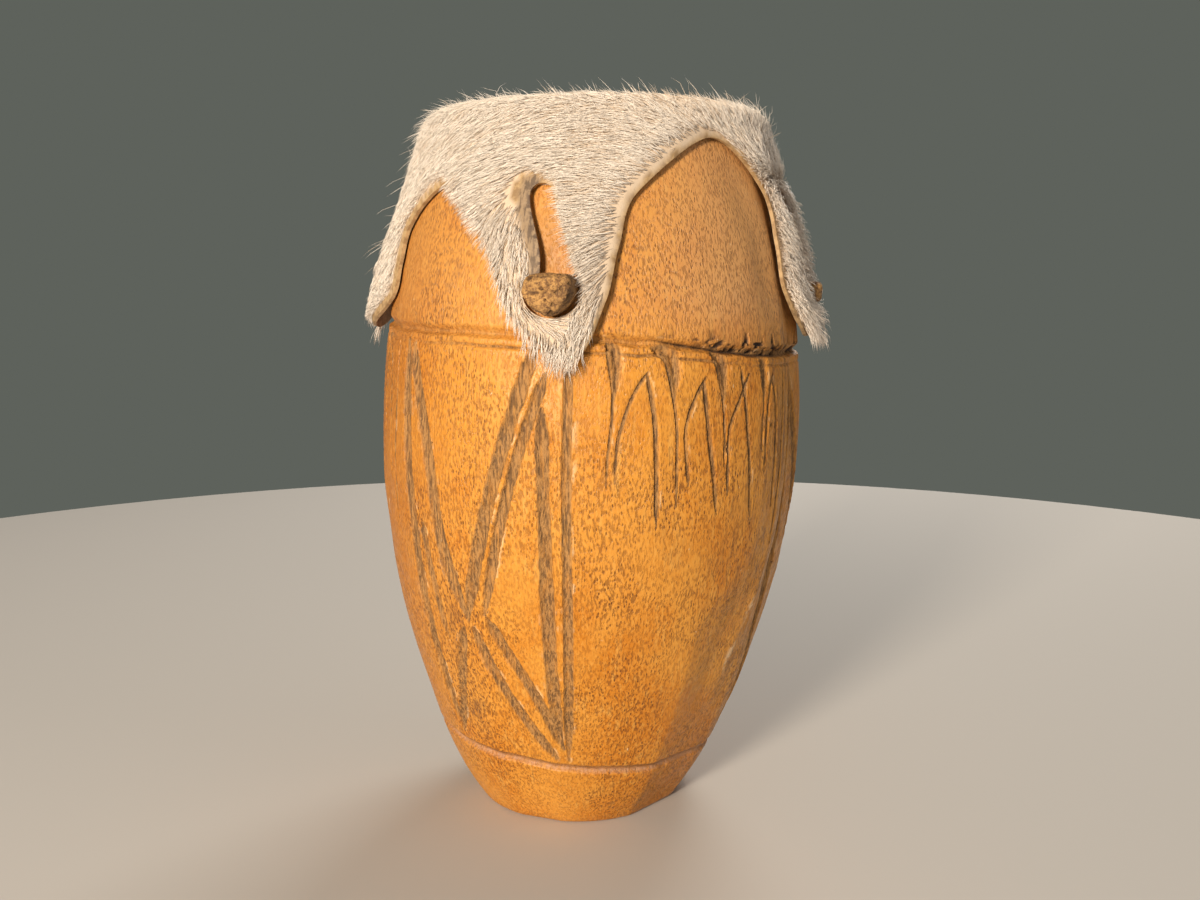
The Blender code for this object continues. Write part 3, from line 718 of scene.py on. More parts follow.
def turnedBody():
    # the drum's wall, inside and out, as a ring of columns
    m = bodyMesh
    rows = bodyRows()
    reach = m["frontReach"]
    front = np.arange(-reach, reach, m["frontStep"])
    back = np.linspace(reach, 360 - reach, round((360 - 2 * reach) / m["backStep"]))
    columns = np.unique(np.round(np.concatenate([front, back[:-1]]), 4))
    deselectAll()
    bpy.ops.mesh.primitive_torus_add(
        major_segments=len(columns), minor_segments=len(rows), major_radius=0.04, minor_radius=0.01
    )
    body = bpy.context.object
    body.name = "drumBody"
    height, side, inset = (np.tile(values, len(columns)) for values in np.array(rows).T)
    azimuth = np.repeat(columns, len(rows))
    outside = side == 1
    z = np.where(outside, rowHeight(azimuth, height), height)
    radius = np.where(outside, woodRadius(z, azimuth) - inset, hollowRadius(z) + inset)
    writePoints(body.data, place(z, azimuth, radius))
    return body


def refineCuts(body, strokes):
    # finer faces along the strokes and rings, and finer again on the front's cut edges
    m = bodyMesh

    def nearStroke(azimuth, z):
        near = np.zeros(len(z), bool)
        for kind, width, depth, path in strokes:
            chosen = strokeCandidates(azimuth, z, path, width + 0.002)
            distance, side, share = nearestOnPath(azimuth[chosen], z[chosen], path)
            reach = width if kind == "notch" else width / 2
            near[chosen] |= distance < reach + m["strokeMargin"]
        ahead = np.abs(azimuth) < m["frontReach"]
        ringGap = z - upperRing(azimuth)
        near |= (ringGap > -m["ringBelow"]) & (ringGap < m["ringAbove"]) & ahead
        near |= (np.abs(z - footRing(azimuth)) < m["footRingReach"]) & ahead
        return near

    def onCutEdge(azimuth, z):
        near = np.zeros(len(z), bool)
        for kind, width, depth, path in strokes:
            chosen = strokeCandidates(azimuth, z, path, width + 0.002)
            distance, side, share = nearestOnPath(azimuth[chosen], z[chosen], path)
            if kind == "scrape":
                near[chosen] |= np.abs(distance - width / 2) < m["scrapeEdge"]
            elif kind == "notch":
                near[chosen] |= distance < m["notchCore"]
            else:
                near[chosen] |= distance < width / 2 + m["lineMargin"]
        return near & (np.abs(azimuth) < m["finestWithin"])

    subdivideNear(body, nearStroke)
    subdivideNear(body, onCutEdge)


# What the wood carries besides its strokes, and painted shade in its lines, behind the front slit and along
# the foot ring; sizes are of the lumps in each pattern
wear = {
    "toolWaves": 0.00028,
    "toolWaveSizes": (0.009, (0.004, 0.004, 0.012)),
    "ringWaveSize": 0.004,
    "ringRoughSize": 0.0017,
    "ringWander": 0.00022,
    "fineLineWander": 0.0003,
    "fineLineSize": 0.010,
    "footRingWander": 0.0002,
    "pitSizes": (0.0011, 0.0006),
    "pitDepth": 0.0008,
    "pitMiddle": 0.0008,
    "pitReach": 0.0019,
    "crackFrom": 9.0,
    "crackTo": 52.0,
    "crackWidth": 0.0006,
    "crackDepth": 0.0005,
    "speckSizes": (0.00060, 0.0020),
    "speckDepth": 0.0004,
    "lipHeight": 0.00008,
    "lineShade": 0.26,
    "slitShade": 0.30,
    "slitShadeSize": 0.0018,
    "footLineShade": 0.55,
    "footLineDrop": 0.00075,
    "footLineHalf": 0.00034,
}


def amongZeros(count, index, values):
    # values of some points, set among zeros for all
    full = np.zeros(count)
    full[index] = values
    return full


def mixedNoise(points, sizes, seed, weights):
    first, second = sizes
    return softNoise(points, first, seed) * weights[0] + softNoise(points, second, seed + 1) * weights[1]


def carveBody(body, strokes):
    # the relief, as points moved inwards, and the masks that the wood's colour reads
    c, w = carving, wear
    points = readPoints(body.data)
    azimuth, outside = isOutside(points)
    z = points[:, 2]
    standing = (z > form["footEdge"] + 0.0001) & (z < form["rimHeight"] - form["rimEdge"] - 0.0001)
    index = np.nonzero(standing & outside)[0]
    z, azimuth = z[index], azimuth[index]
    base = woodRadius(z, azimuth)
    flatPlace = place(z, azimuth, base)
    depth, cut, lipAndHighlight = strokeField(azimuth, z, strokes)

    # the two rings and the fine line, rougher on the right
    ringGap = z - upperRing(azimuth)
    turn = np.radians(azimuth)
    around = np.stack([np.sin(turn) * 0.045, np.cos(turn) * 0.045, z * 0.3], axis=1)
    ringWave = softNoise(around, w["ringWaveSize"], 21)
    rough = smoothStep(azimuth, 5, 45) * (1 - smoothStep(azimuth, 100, 30))
    ring = grooveField(
        ringGap + ringWave * w["ringWander"], c["ringWidth"], c["ringDepth"], c["ringSag"]
    )
    ring = ring * (1 + 0.25 * softNoise(around, w["ringRoughSize"], 22) + 0.25 * rough)
    fine = grooveField(
        ringGap + c["fineLineDrop"] + ringWave * w["fineLineWander"],
        c["fineLineWidth"], c["fineLineDepth"], 0.0,
    )
    fine = fine * np.clip(0.75 + 0.8 * softNoise(around, w["fineLineSize"], 23), 0.2, 1.1)
    foot = grooveField(
        z - footRing(azimuth) + ringWave * w["footRingWander"],
        c["footRingWidth"], c["footRingDepth"], c["footRingSag"],
    )

    # pits and a crack along the upper ring, specks all over, and the adze's waves
    pits = mixedNoise(flatPlace, w["pitSizes"], 24, (0.6, 0.4))
    nearRing = hump(ringGap, w["pitMiddle"], w["pitReach"]) * rough
    pitDepth = w["pitDepth"] * smoothStep(pits, 0.12, 0.30) * nearRing
    waves = mixedNoise(flatPlace, w["toolWaveSizes"], 26, (1.0, 0.6))
    crackShare = smoothStep(azimuth, w["crackFrom"], 12) * (1 - smoothStep(azimuth, w["crackTo"], 14))
    crackWidth = w["crackWidth"] * (1 + 0.5 * softNoise(around, 0.003, 28))
    crackGap = ringGap - 0.0002 + 0.0010 * smoothStep(azimuth, 8, 34) + ringWave * 0.00025
    crack = np.clip(1 - np.abs(crackGap) / (crackWidth / 2), 0, 1) ** 0.7 * crackShare
    specks = mixedNoise(flatPlace, w["speckSizes"], 29, (0.5, 0.5))
    speckLimit = 0.78 - 0.08 * smoothStep(azimuth, 30, 40) * (1 - smoothStep(azimuth, 90, 20))
    specks = smoothStep(specks, speckLimit, 0.05)

    total = np.maximum.reduce([depth, ring, fine, foot]) + pitDepth
    total = total + w["crackDepth"] * crack + w["speckDepth"] * specks
    cutBack, wornEdgeAndHighlight = arrisField(azimuth, z)
    total = total - w["lipHeight"] * lipAndHighlight * (total < 0.0001) + cutBack
    total = total + w["toolWaves"] * (0.5 + 0.5 * waves) * (1 - np.clip(cut, 0, 1))
    points[index] = place(z, azimuth, base - total)
    writePoints(body.data, points)

    ringMask = np.clip(ring / c["ringDepth"], 0, 1) ** 1.5 * (0.45 + 0.55 * rough)
    footShare = np.clip(foot / c["footRingDepth"], 0, 1)
    fineMask = np.clip(fine / c["fineLineDepth"], 0, 1) * 0.8
    cutMask = np.maximum.reduce([cut, ringMask, footShare * 0.55, fineMask, nearRing * 0.55])
    pitMask = smoothStep(pits, 0.15, 0.12) * np.clip(nearRing * 1.4, 0, 1)
    # painted shade: near-black in the deepest parts of the lines, mottled shade and dirt behind the front
    # slit, and a dark line along the top of the foot ring
    lineShade = w["lineShade"] * cut * (depth > 0.00015) * (ringGap < -0.0006) * (cut > 0.87)
    behindSlit = hump(azimuth, -8.5, 8) * hump(z, 0.120, 0.009)
    slitMottles = 0.7 + 0.6 * softNoise(flatPlace, w["slitShadeSize"], 32)
    footGap = z - footRing(azimuth) - w["footLineDrop"] + ringWave * w["footRingWander"]
    footLine = np.clip(1.3 - np.abs(footGap) / w["footLineHalf"], 0, 1) * (0.75 + 0.5 * ringWave)
    darkMask = np.maximum.reduce([
        crack, pitMask, specks, lineShade, w["slitShade"] * behindSlit * slitMottles,
        np.clip(w["footLineShade"] * footLine, 0, 1),
    ])
    lipAndHighlightMask = np.maximum(lipAndHighlight, wornEdgeAndHighlight) * (1 - np.clip(cut * 2, 0, 1))
    masks = {"cut": cutMask, "dust": footShare**0.6, "dark": darkMask, "lipAndHighlight": lipAndHighlightMask}
    for name, values in masks.items():
        writeAttribute(body.data, name, amongZeros(len(points), index, values))


def buildBody(material):
    body = turnedBody()
    strokes = allStrokes()
    refineCuts(body, strokes)
    carveBody(body, strokes)
    makeActive(body)
    bpy.ops.object.shade_smooth_by_angle(angle=radians(bodyMesh["smoothAngle"]))
    finishPiece(body, "drum_shell", material)


# Node helpers and shared surface effects

def newGroup(name, inputs, outputs):
    group = bpy.data.node_groups.new(name, "ShaderNodeTree")
    for label, kind, value in inputs:
        socket = group.interface.new_socket(label, in_out="INPUT", socket_type=kind)
        socket.default_value = value
    for label, kind in outputs:
        group.interface.new_socket(label, in_out="OUTPUT", socket_type=kind)
    start = group.nodes.new("NodeGroupInput")
    end = group.nodes.new("NodeGroupOutput")
    return group, start, end


def addNode(tree, kind, inputs=None, **settings):
    # inputs may hold plain values or sockets to link from
    node = tree.nodes.new(kind)
    for key, value in settings.items():
        setattr(node, key, value)
    for key, value in (inputs or {}).items():
        if isinstance(value, bpy.types.NodeSocket):
            tree.links.new(value, node.inputs[key])
        else:
            node.inputs[key].default_value = value
    return node


def mathNode(tree, operation, first, second, clamp=False):
    inputs = {0: first, 1: second}
    return addNode(tree, "ShaderNodeMath", inputs, operation=operation, use_clamp=clamp).outputs[0]


def mixColour(tree, factor, first, second):
    inputs = {0: factor, 6: first, 7: second}
    return addNode(tree, "ShaderNodeMix", inputs, data_type="RGBA").outputs[2]


def rampValue(tree, value, low, high, start=0.0, end=1.0):
    node = addNode(
        tree, "ShaderNodeMapRange",
        {"Value": value, "From Min": low, "From Max": high, "To Min": start, "To Max": end},
        interpolation_type="SMOOTHSTEP",
    )
    return node.outputs[0]


def stretched(tree, source, scale):
    return addNode(tree, "ShaderNodeMapping", {"Vector": source, "Scale": scale}).outputs[0]


def attributeValue(tree, name):
    return addNode(tree, "ShaderNodeAttribute", attribute_name=name).outputs["Fac"]


def multiplied(tree, first, second):
    return mathNode(tree, "MULTIPLY", first, second)


def noiseValue(tree, vector, scale, detail=2.0, roughness=0.5):
    node = addNode(
        tree, "ShaderNodeTexNoise",
        {"Vector": vector, "Scale": scale, "Detail": detail, "Roughness": roughness},
    )
    return node.outputs["Fac"]


def grainNoise(tree, vector, lengthwise, scale, detail, roughness):
    # noise drawn out along the wood's grain, which runs along Z
    return noiseValue(tree, stretched(tree, vector, (1.0, 1.0, lengthwise)), scale, detail, roughness)


def makePoreGroup():
    # the short dark vessels of open-grained hardwood, longer along Z
    group, start, end = newGroup(
        "woodPores",
        [("Vector", "NodeSocketVector", (0, 0, 0)), ("Amount", "NodeSocketFloat", 0.5)],
        [("Mask", "NodeSocketFloat"), ("Glint", "NodeSocketFloat")],
    )
    vector = start.outputs["Vector"]
    wander = noiseValue(group, vector, 260.0, 1.0)
    aside = addNode(group, "ShaderNodeCombineXYZ", {"X": wander, "Y": wander}).outputs[0]
    bent = addNode(
        group, "ShaderNodeVectorMath",
        {0: aside, 1: (0.0008, 0.0008, 0.0), 2: vector}, operation="MULTIPLY_ADD",
    ).outputs[0]
    long = stretched(group, bent, (1.0, 1.0, 0.42))
    cell = addNode(group, "ShaderNodeTexVoronoi", {"Vector": long, "Scale": 1750.0})
    dots = rampValue(group, cell.outputs["Distance"], 0.15, 0.38, 1.0, 0.0)
    keep = addNode(group, "ShaderNodeSeparateColor", {"Color": cell.outputs["Color"]}).outputs[0]
    limit = mathNode(group, "SUBTRACT", 1.0, start.outputs["Amount"])
    kept = mathNode(group, "GREATER_THAN", keep, limit)
    fleck = grainNoise(group, bent, 0.34, 2300.0, 2.0, 0.6)
    flecks = rampValue(group, fleck, 0.47, 0.64, 0.0, 0.70)
    both = mathNode(group, "MAXIMUM", multiplied(group, dots, kept), flecks)
    group.links.new(both, end.inputs["Mask"])
    group.links.new(rampValue(group, fleck, 0.30, 0.46, 1.0, 0.0), end.inputs["Glint"])
    return group


def makeStainGroup():
    # a blotchy oil stain: two colours in soft patches, with streaks along the grain
    group, start, end = newGroup(
        "stainPatches",
        [("Vector", "NodeSocketVector", (0, 0, 0)), ("Light", "NodeSocketColor", (1, 1, 1, 1)),
         ("Deep", "NodeSocketColor", (1, 1, 1, 1)), ("Pale", "NodeSocketColor", (1, 1, 1, 1))],
        [("Color", "NodeSocketColor")],
    )
    vector = start.outputs["Vector"]
    broad = noiseValue(group, vector, 38.0, 3.0, 0.6)
    small = grainNoise(group, vector, 0.55, 190.0, 4.0, 0.65)
    fibre = grainNoise(group, vector, 0.06, 900.0, 3.0, 0.6)
    blotch = mathNode(group, "ADD", multiplied(group, broad, 0.6), multiplied(group, small, 0.4))
    patch = rampValue(group, blotch, 0.40, 0.62)
    base = mixColour(group, patch, start.outputs["Light"], start.outputs["Deep"])
    streak = mathNode(group, "ADD", multiplied(group, fibre, 0.5), multiplied(group, small, 0.5))
    pale = rampValue(group, streak, 0.50, 0.68, 0.0, 0.55)
    colour = mixColour(group, pale, base, start.outputs["Pale"])
    group.links.new(colour, end.inputs["Color"])
    return group


def newMaterial(name):
    made = bpy.data.materials.new(name)
    made.use_nodes = True
    tree = made.node_tree
    shader = tree.nodes["Principled BSDF"]
    objectPlace = tree.nodes.new("ShaderNodeTexCoord").outputs["Object"]
    return made, tree, shader, objectPlace


def linkBump(tree, shader, height, strength, distance):
    inputs = {"Strength": strength, "Distance": distance, "Height": height}
    bump = addNode(tree, "ShaderNodeBump", inputs)
    tree.links.new(bump.outputs[0], shader.inputs["Normal"])


def groupNode(tree, group, inputs):
    return addNode(tree, "ShaderNodeGroup", inputs, node_tree=group)


woodLook = {
    "light": (0.66, 0.285, 0.040, 1.0),
    "deep": (0.56, 0.195, 0.014, 1.0),
    "pale": (0.76, 0.420, 0.100, 1.0),
    "dry": (0.62, 0.345, 0.150, 1.0),
    "pore": (0.13, 0.042, 0.010, 1.0),
    "cutWood": (0.410, 0.220, 0.078, 1.0),
    "cutDark": (0.112, 0.064, 0.030, 1.0),
    "crack": (0.030, 0.016, 0.012, 1.0),
    "scuff": (0.86, 0.66, 0.42, 1.0),
    "streak": (0.30, 0.130, 0.030, 1.0),
    "leftDeeper": (0.47, 0.175, 0.024, 1.0),
    "smudge": (0.16, 0.075, 0.030, 1.0),
    # pale lips: wear, and painted highlights along the cut edges
    "lipAndHighlight": (0.86, 0.62, 0.36, 1.0),
    "dust": (0.50, 0.275, 0.160, 1.0),
    "pores": 0.62,
    "roughness": (0.32, 0.54),
    "roughInCuts": 0.35,
    "shine": 0.34,
    "bump": 0.00016,
    "bumpStrength": 0.75,
}


def makeWoodMaterial(poreGroup, stainGroup):
    w = woodLook
    made, tree, shader, vector = newMaterial("oiledWood")
    colours = {"Vector": vector, "Light": w["light"], "Deep": w["deep"], "Pale": w["pale"]}
    stain = groupNode(tree, stainGroup, colours).outputs["Color"]
    pores = groupNode(tree, poreGroup, {"Vector": vector, "Amount": w["pores"]})
    thick = rampValue(tree, noiseValue(tree, vector, 55.0, 2.0), 0.30, 0.62, 0.45, 1.0)
    poreMask = multiplied(tree, pores.outputs["Mask"], thick)
    apart = addNode(tree, "ShaderNodeSeparateXYZ", {"Vector": vector}).outputs

    # stain, turned a deeper orange towards the left and streaked on the right
    leftSide = rampValue(tree, apart[0], -0.046, -0.014, 0.75, 0.0)
    colour = mixColour(tree, leftSide, stain, w["leftDeeper"])
    colour = mixColour(tree, multiplied(tree, pores.outputs["Glint"], 0.30), colour, w["pale"])
    streak = rampValue(tree, grainNoise(tree, vector, 0.07, 640.0, 4.0, 0.65), 0.50, 0.66)
    rightSide = rampValue(tree, apart[0], 0.014, 0.040, 0.0, 0.75)
    colour = mixColour(tree, multiplied(tree, streak, rightSide), colour, w["streak"])

    # dark vessels, pale scuffs and smudges
    smudge = grainNoise(tree, vector, 0.45, 60.0, 5.0, 0.7)
    poreDepth = rampValue(tree, smudge, 0.46, 0.62, 0.68, 0.98)
    colour = mixColour(tree, multiplied(tree, poreMask, poreDepth), colour, w["pore"])
    scuff = grainNoise(tree, vector, 0.50, 620.0, 3.0, 0.55)
    colour = mixColour(tree, rampValue(tree, scuff, 0.730, 0.760, 0.0, 0.75), colour, w["scuff"])
    colour = mixColour(tree, rampValue(tree, smudge, 0.60, 0.74, 0.0, 0.50), colour, w["smudge"])

    # drier, paler wood above the ring on the right
    above = rampValue(tree, apart[2], 0.098, 0.112)
    beside = multiplied(tree, above, rampValue(tree, apart[0], 0.0, 0.030, 0.25, 0.85))
    dryGrain = mixColour(tree, multiplied(tree, poreMask, 0.55), w["dry"], w["pore"])
    colour = mixColour(tree, multiplied(tree, beside, 0.8), colour, dryGrain)

    # cut wood, its worn lips with painted highlights, dust in the foot ring, and what is quite dark
    cut = attributeValue(tree, "cut")
    fibre = grainNoise(tree, vector, 0.13, 2300.0, 3.0, 0.75)
    scraped = mixColour(tree, rampValue(tree, fibre, 0.40, 0.60), w["cutDark"], w["cutWood"])
    broken = grainNoise(tree, vector, 0.10, 900.0, 4.0, 0.7)
    amount = multiplied(tree, cut, rampValue(tree, broken, 0.36, 0.58, 0.60, 1.0))
    amount = multiplied(tree, rampValue(tree, amount, 0.0, 0.90), 0.92)
    colour = mixColour(tree, amount, colour, scraped)
    # pale lips along the cuts and the arris: wear, and painted highlights on the edges
    wornAndHighlightPatches = rampValue(tree, noiseValue(tree, vector, 260.0, 2.0), 0.54, 0.66, 0.0, 0.72)
    colour = mixColour(tree, multiplied(tree, attributeValue(tree, "lipAndHighlight"), wornAndHighlightPatches), colour, w["lipAndHighlight"])
    dusty = rampValue(tree, noiseValue(tree, vector, 1100.0, 3.0, 0.7), 0.38, 0.58, 0.25, 0.85)
    colour = mixColour(tree, multiplied(tree, attributeValue(tree, "dust"), dusty), colour, w["dust"])
    # the dark marks: cracks, pits and specks, with painted shade in the lines, behind the front slit and
    # along the foot ring
    colour = mixColour(tree, attributeValue(tree, "dark"), colour, w["crack"])
    tree.links.new(colour, shader.inputs["Base Color"])

    rough = rampValue(tree, noiseValue(tree, vector, 420.0, 3.0), 0.3, 0.7, *w["roughness"])
    rough = mathNode(tree, "ADD", rough, multiplied(tree, cut, w["roughInCuts"]), clamp=True)
    tree.links.new(rough, shader.inputs["Roughness"])
    shader.inputs["Specular IOR Level"].default_value = w["shine"]

    grain = grainNoise(tree, vector, 0.12, 1500.0, 3.0, 0.6)
    height = mathNode(tree, "SUBTRACT", multiplied(tree, grain, 0.35), poreMask)
    deep = multiplied(tree, multiplied(tree, fibre, cut), 2.2)
    height = mathNode(tree, "ADD", height, deep)
    linkBump(tree, shader, height, w["bumpStrength"], w["bump"])
    return made


# The hide's outline

hide = {
    "clearance": 0.0003,
    "skin": 0.0012,
    "coat": 0.0030,
    "shoulder": 0.0046,
    "swell": 0.0011,
    "slitLength": 0.0200,
    "slitHead": 0.0048,
    "slitLean": 4.2,
    "bareBand": 0.0008,
    "headBare": (0.0005, 0.0032),
    "leftBare": 0.0016,
    "rightBare": 0.0010,
    "flapWidth": 0.0026,
    "flapLift": 0.0004,
    "leftProp": 0.0040,
    "propReach": 20.0,
    "leftPropReach": 26.0,
    "foldReach": 0.0030,
    "bendLength": 0.0048,
    "lowest": 0.060,
    "typicalRadius": 0.042,
    "flatReach": 0.088,
    "meshStep": 0.00125,
    "edgeSamples": 420,
    "smoothAngle": 60.0,
}

# lobes: azimuth of the tip, height of the tip, azimuth of the peg
lobes = {
    "front": (-4.5, 0.1003, -9.5),
    "right": (79.5, 0.1030, 79.0),
    "back": (168.0, 0.1015, 169.0),
    "left": (-97.0, 0.1040, -100.0),
}

# windows between the lobes: apex azimuth and height, then how far each flank reaches
windows = (
    ("front", "right", 36.8, 0.1416, (0.82, 0.74, 0.60), (0.55, 0.53, 0.49)),
    ("right", "back", 128.0, 0.1370, (0.70, 0.62, 0.50), (0.72, 0.62, 0.50)),
    ("back", "left", 215.0, 0.1385, (0.74, 0.64, 0.50), (0.66, 0.58, 0.48)),
    ("left", "front", -46.0, 0.1330, (0.44, 0.38, 0.34), (0.64, 0.52, 0.36)),
)

pegForm = {
    "width": 0.0094,
    "above": 0.0034,
    "below": 0.0042,
    "sunk": 0.0060,
    "clearance": 0.0003,
    "roughness": 0.0004,
    "head": 0.96,
    "square": (0.50, 1.08),
    "narrowing": 0.16,
    "lumpSizes": (0.0022, 0.0007),
    "lumpHeight": 0.00050,
    "dentSize": 0.00075,
    "dentDepth": 0.0008,
    "mostGrowth": 0.00020,
    "segments": 44,
    "rings": 40,
}

# each peg's size against the front one, and how far it stands out beyond the wood
pegSizes = {
    "front": (1.0, 0.0074),
    "right": (0.62, 0.0058),
    "back": (0.85, 0.0068),
    "left": (0.75, 0.0058),
}


def flankPoints(tip, apex, reaches):
    span, rise = tip[0] - apex[0], apex[1] - tip[1]
    return [(apex[0] + span * reach, tip[1] + rise * share)
            for reach, share in zip(reaches, (0.25, 0.50, 0.75))]


def hideEdge(samples):
    # the hide's lower edge once round, as (azimuth, height) at even steps
    points = []
    for left, right, apexAzimuth, apexHeight, leftReach, rightReach in windows:
        leftAzimuth, leftHeight, _ = lobes[left]
        rightAzimuth, rightHeight, _ = lobes[right]
        while leftAzimuth > apexAzimuth:
            leftAzimuth -= 360
        while rightAzimuth < apexAzimuth:
            rightAzimuth += 360
        apex = (apexAzimuth, apexHeight)
        points.append((leftAzimuth, leftHeight))
        points += flankPoints((leftAzimuth, leftHeight), apex, leftReach)
        points.append(apex)
        points += reversed(flankPoints((rightAzimuth, rightHeight), apex, rightReach))
    first = points[0][0]
    loop = np.array([(a + 360 * np.ceil((first - a) / 360) if a < first else a, h) for a, h in points])
    count, between = len(loop), 24
    fine = []
    for i in range(count):
        corners = [loop[k % count] + (360 * (k // count), 0) for k in (i - 1, i, i + 1, i + 2)]
        fine += [curvePoint(*corners, k / between) for k in range(between)]
    fine.append(fine[0] + (360, 0))
    fine = np.array(fine)
    steps = np.hypot(np.diff(fine[:, 0]) * radians(1) * hide["typicalRadius"], np.diff(fine[:, 1]))
    along = np.concatenate([[0.0], np.cumsum(steps)])
    wanted = np.linspace(0, along[-1], samples, endpoint=False)
    return np.stack([np.interp(wanted, along, fine[:, k]) for k in (0, 1)], axis=1)


def sidePoints(start, end):
    # nine points between two, without either end
    shares = [k / 10 for k in range(1, 10)]
    return [tuple(np.array(start) * (1 - share) + np.array(end) * share) for share in shares]


def slitLoop(pegAzimuth, size):
    # the slit's outline as (azimuth, height), a drop round the peg drawn up to its head
    radius = float(woodRadius(form["pegHeight"], pegAzimuth))
    lean = -hide["slitLean"] * radians(1) * radius
    halfHead = hide["slitHead"] / 2
    gap = pegForm["clearance"] + pegForm["roughness"]
    halfPeg = pegForm["width"] / 2 * size * pegForm["head"] + gap
    under = pegForm["below"] * size * pegForm["head"] + gap
    headUp = hide["slitLength"] - halfHead
    outline = []
    for turn in range(0, -181, -12):
        outline.append((halfPeg * cos(radians(turn)), under * sin(radians(turn))))
    outline += sidePoints((-halfPeg, 0.0), (lean - halfHead, headUp))
    for turn in range(180, -1, -20):
        outline.append((lean + halfHead * cos(radians(turn)), headUp + halfHead * sin(radians(turn))))
    outline += sidePoints((lean + halfHead, headUp), (halfPeg, 0.0))
    outline = np.array(outline)
    turn = np.degrees(np.arcsin(np.clip(outline[:, 0] / radius, -1, 1)))
    return np.stack([pegAzimuth + turn, form["pegHeight"] + outline[:, 1]], axis=1)


# The hide laid flat: p and q are its place on the flat, rho the way from the crown's middle

def skirtTable():
    bendHeight = form["rimHeight"] + hide["clearance"] + hide["coat"] - hide["shoulder"]
    bendRadius = form["rimRadius"] + hide["clearance"] + hide["coat"] - hide["shoulder"]
    heights = np.linspace(bendHeight, hide["lowest"], 400)
    steps = np.hypot(np.diff(heights), np.diff(turnedRadius(heights)))
    rho = bendRadius + hide["bendLength"] + np.concatenate([[0.0], np.cumsum(steps)])
    return bendHeight, bendRadius, heights, rho


bendHeight, bendRadius, skirtHeights, skirtRho = skirtTable()
bendEnd = bendRadius + hide["bendLength"]
skinTop = form["rimHeight"] + hide["clearance"] + hide["skin"]


def toFlat(loop):
    # (azimuth, height) places laid on the flat
    turn = np.radians(loop[:, 0])
    rho = np.interp(-loop[:, 1], -skirtHeights, skirtRho)
    return np.stack([rho * np.sin(turn), -rho * np.cos(turn)], axis=1)


def flatPlaces(points):
    # rho, azimuth and height of places on the flat
    rho = np.hypot(points[:, 0], points[:, 1])
    azimuth = np.degrees(np.arctan2(points[:, 0], -points[:, 1]))
    return rho, azimuth, np.interp(rho, skirtRho, skirtHeights)


def fromFlat(p, q, lift):
    # points on the skin's outer face, each raised by its lift along the normal
    rho = np.hypot(p, q)
    azimuth = np.degrees(np.arctan2(p, -q))
    z = np.interp(rho, skirtRho, skirtHeights)
    skirtRadius = woodRadius(z, azimuth) + hide["clearance"] + hide["skin"]
    topRadius = woodRadius(bendHeight, azimuth) + hide["clearance"] + hide["skin"]
    turn = np.clip((bendEnd - rho) / hide["bendLength"], 0, 1) * (pi / 2)
    onCrown, onSkirt = rho < bendRadius, rho > bendEnd
    bent = bendRadius + (topRadius - bendRadius) * np.cos(turn)
    radius = np.where(onCrown, rho, np.where(onSkirt, skirtRadius, bent))
    bent = bendHeight + (skinTop - bendHeight) * np.sin(turn)
    height = np.where(onCrown, skinTop, np.where(onSkirt, z, bent))
    slope = np.where(onSkirt, 0.22 * smoothStep(rho, bendEnd, 0.012), turn)
    outwards = np.where(onCrown, 0.0, np.cos(slope))
    upwards = np.where(onCrown, 1.0, np.sin(slope))
    axis = axisX(np.minimum(height, form["rimHeight"]))
    radius = radius + lift * outwards
    angle = np.radians(azimuth)
    return np.stack(
        [axis + radius * np.sin(angle), -radius * np.cos(angle), height + lift * upwards], axis=1
    )


def lobeSwell(azimuth, z):
    # how far a lobe is propped off the wood round its peg; the left one stands off the most
    most = np.zeros(len(z))
    for name, (_, _, pegAzimuth) in lobes.items():
        away = np.abs(wrapTurn(azimuth - pegAzimuth))
        onLeft = name == "left"
        height = hide["leftProp"] if onLeft else hide["swell"]
        reach = hide["leftPropReach"] if onLeft else hide["propReach"]
        most = np.maximum(most, (1 - smoothStep(away, 6.0, reach)) * height)
    return most * (1 - smoothStep(z, form["pegHeight"] - 0.002, 0.024))


def stripWidth(z):
    # the curled strip beside a slit is narrower towards the peg
    return hide["flapWidth"] * (0.55 + 0.45 * smoothStep(z, form["pegHeight"] + 0.002, 0.012))


def foldShift(z, distance, outward, slit):
    # the front slit's left edge folds over the opening, more the nearer it comes to the peg
    level = z - form["pegHeight"]
    down = (1 - smoothStep(level, 0.0050, 0.0135)) * smoothStep(level, 0.0020, 0.0014)
    near = np.clip(1 - distance / 0.0065, 0, 1) * (outward[:, 0] > 0.25) * (slit == frontSlit)
    return hide["foldReach"] * down * near


def shifted(flat, east):
    # places on the flat, moved east by so much on the drum
    rho, _, z = flatPlaces(flat)
    p, q = flat[:, 0], flat[:, 1]
    widen = np.where(rho > bendRadius, rho / np.maximum(turnedRadius(z), 1e-3), 1.0)
    rho = np.maximum(rho, 1e-6)
    return np.stack([p - q / rho * east * widen, q + p / rho * east * widen], axis=1)


frontSlit = 1  # the front lobe's slit is the first loop after the hide's own edge


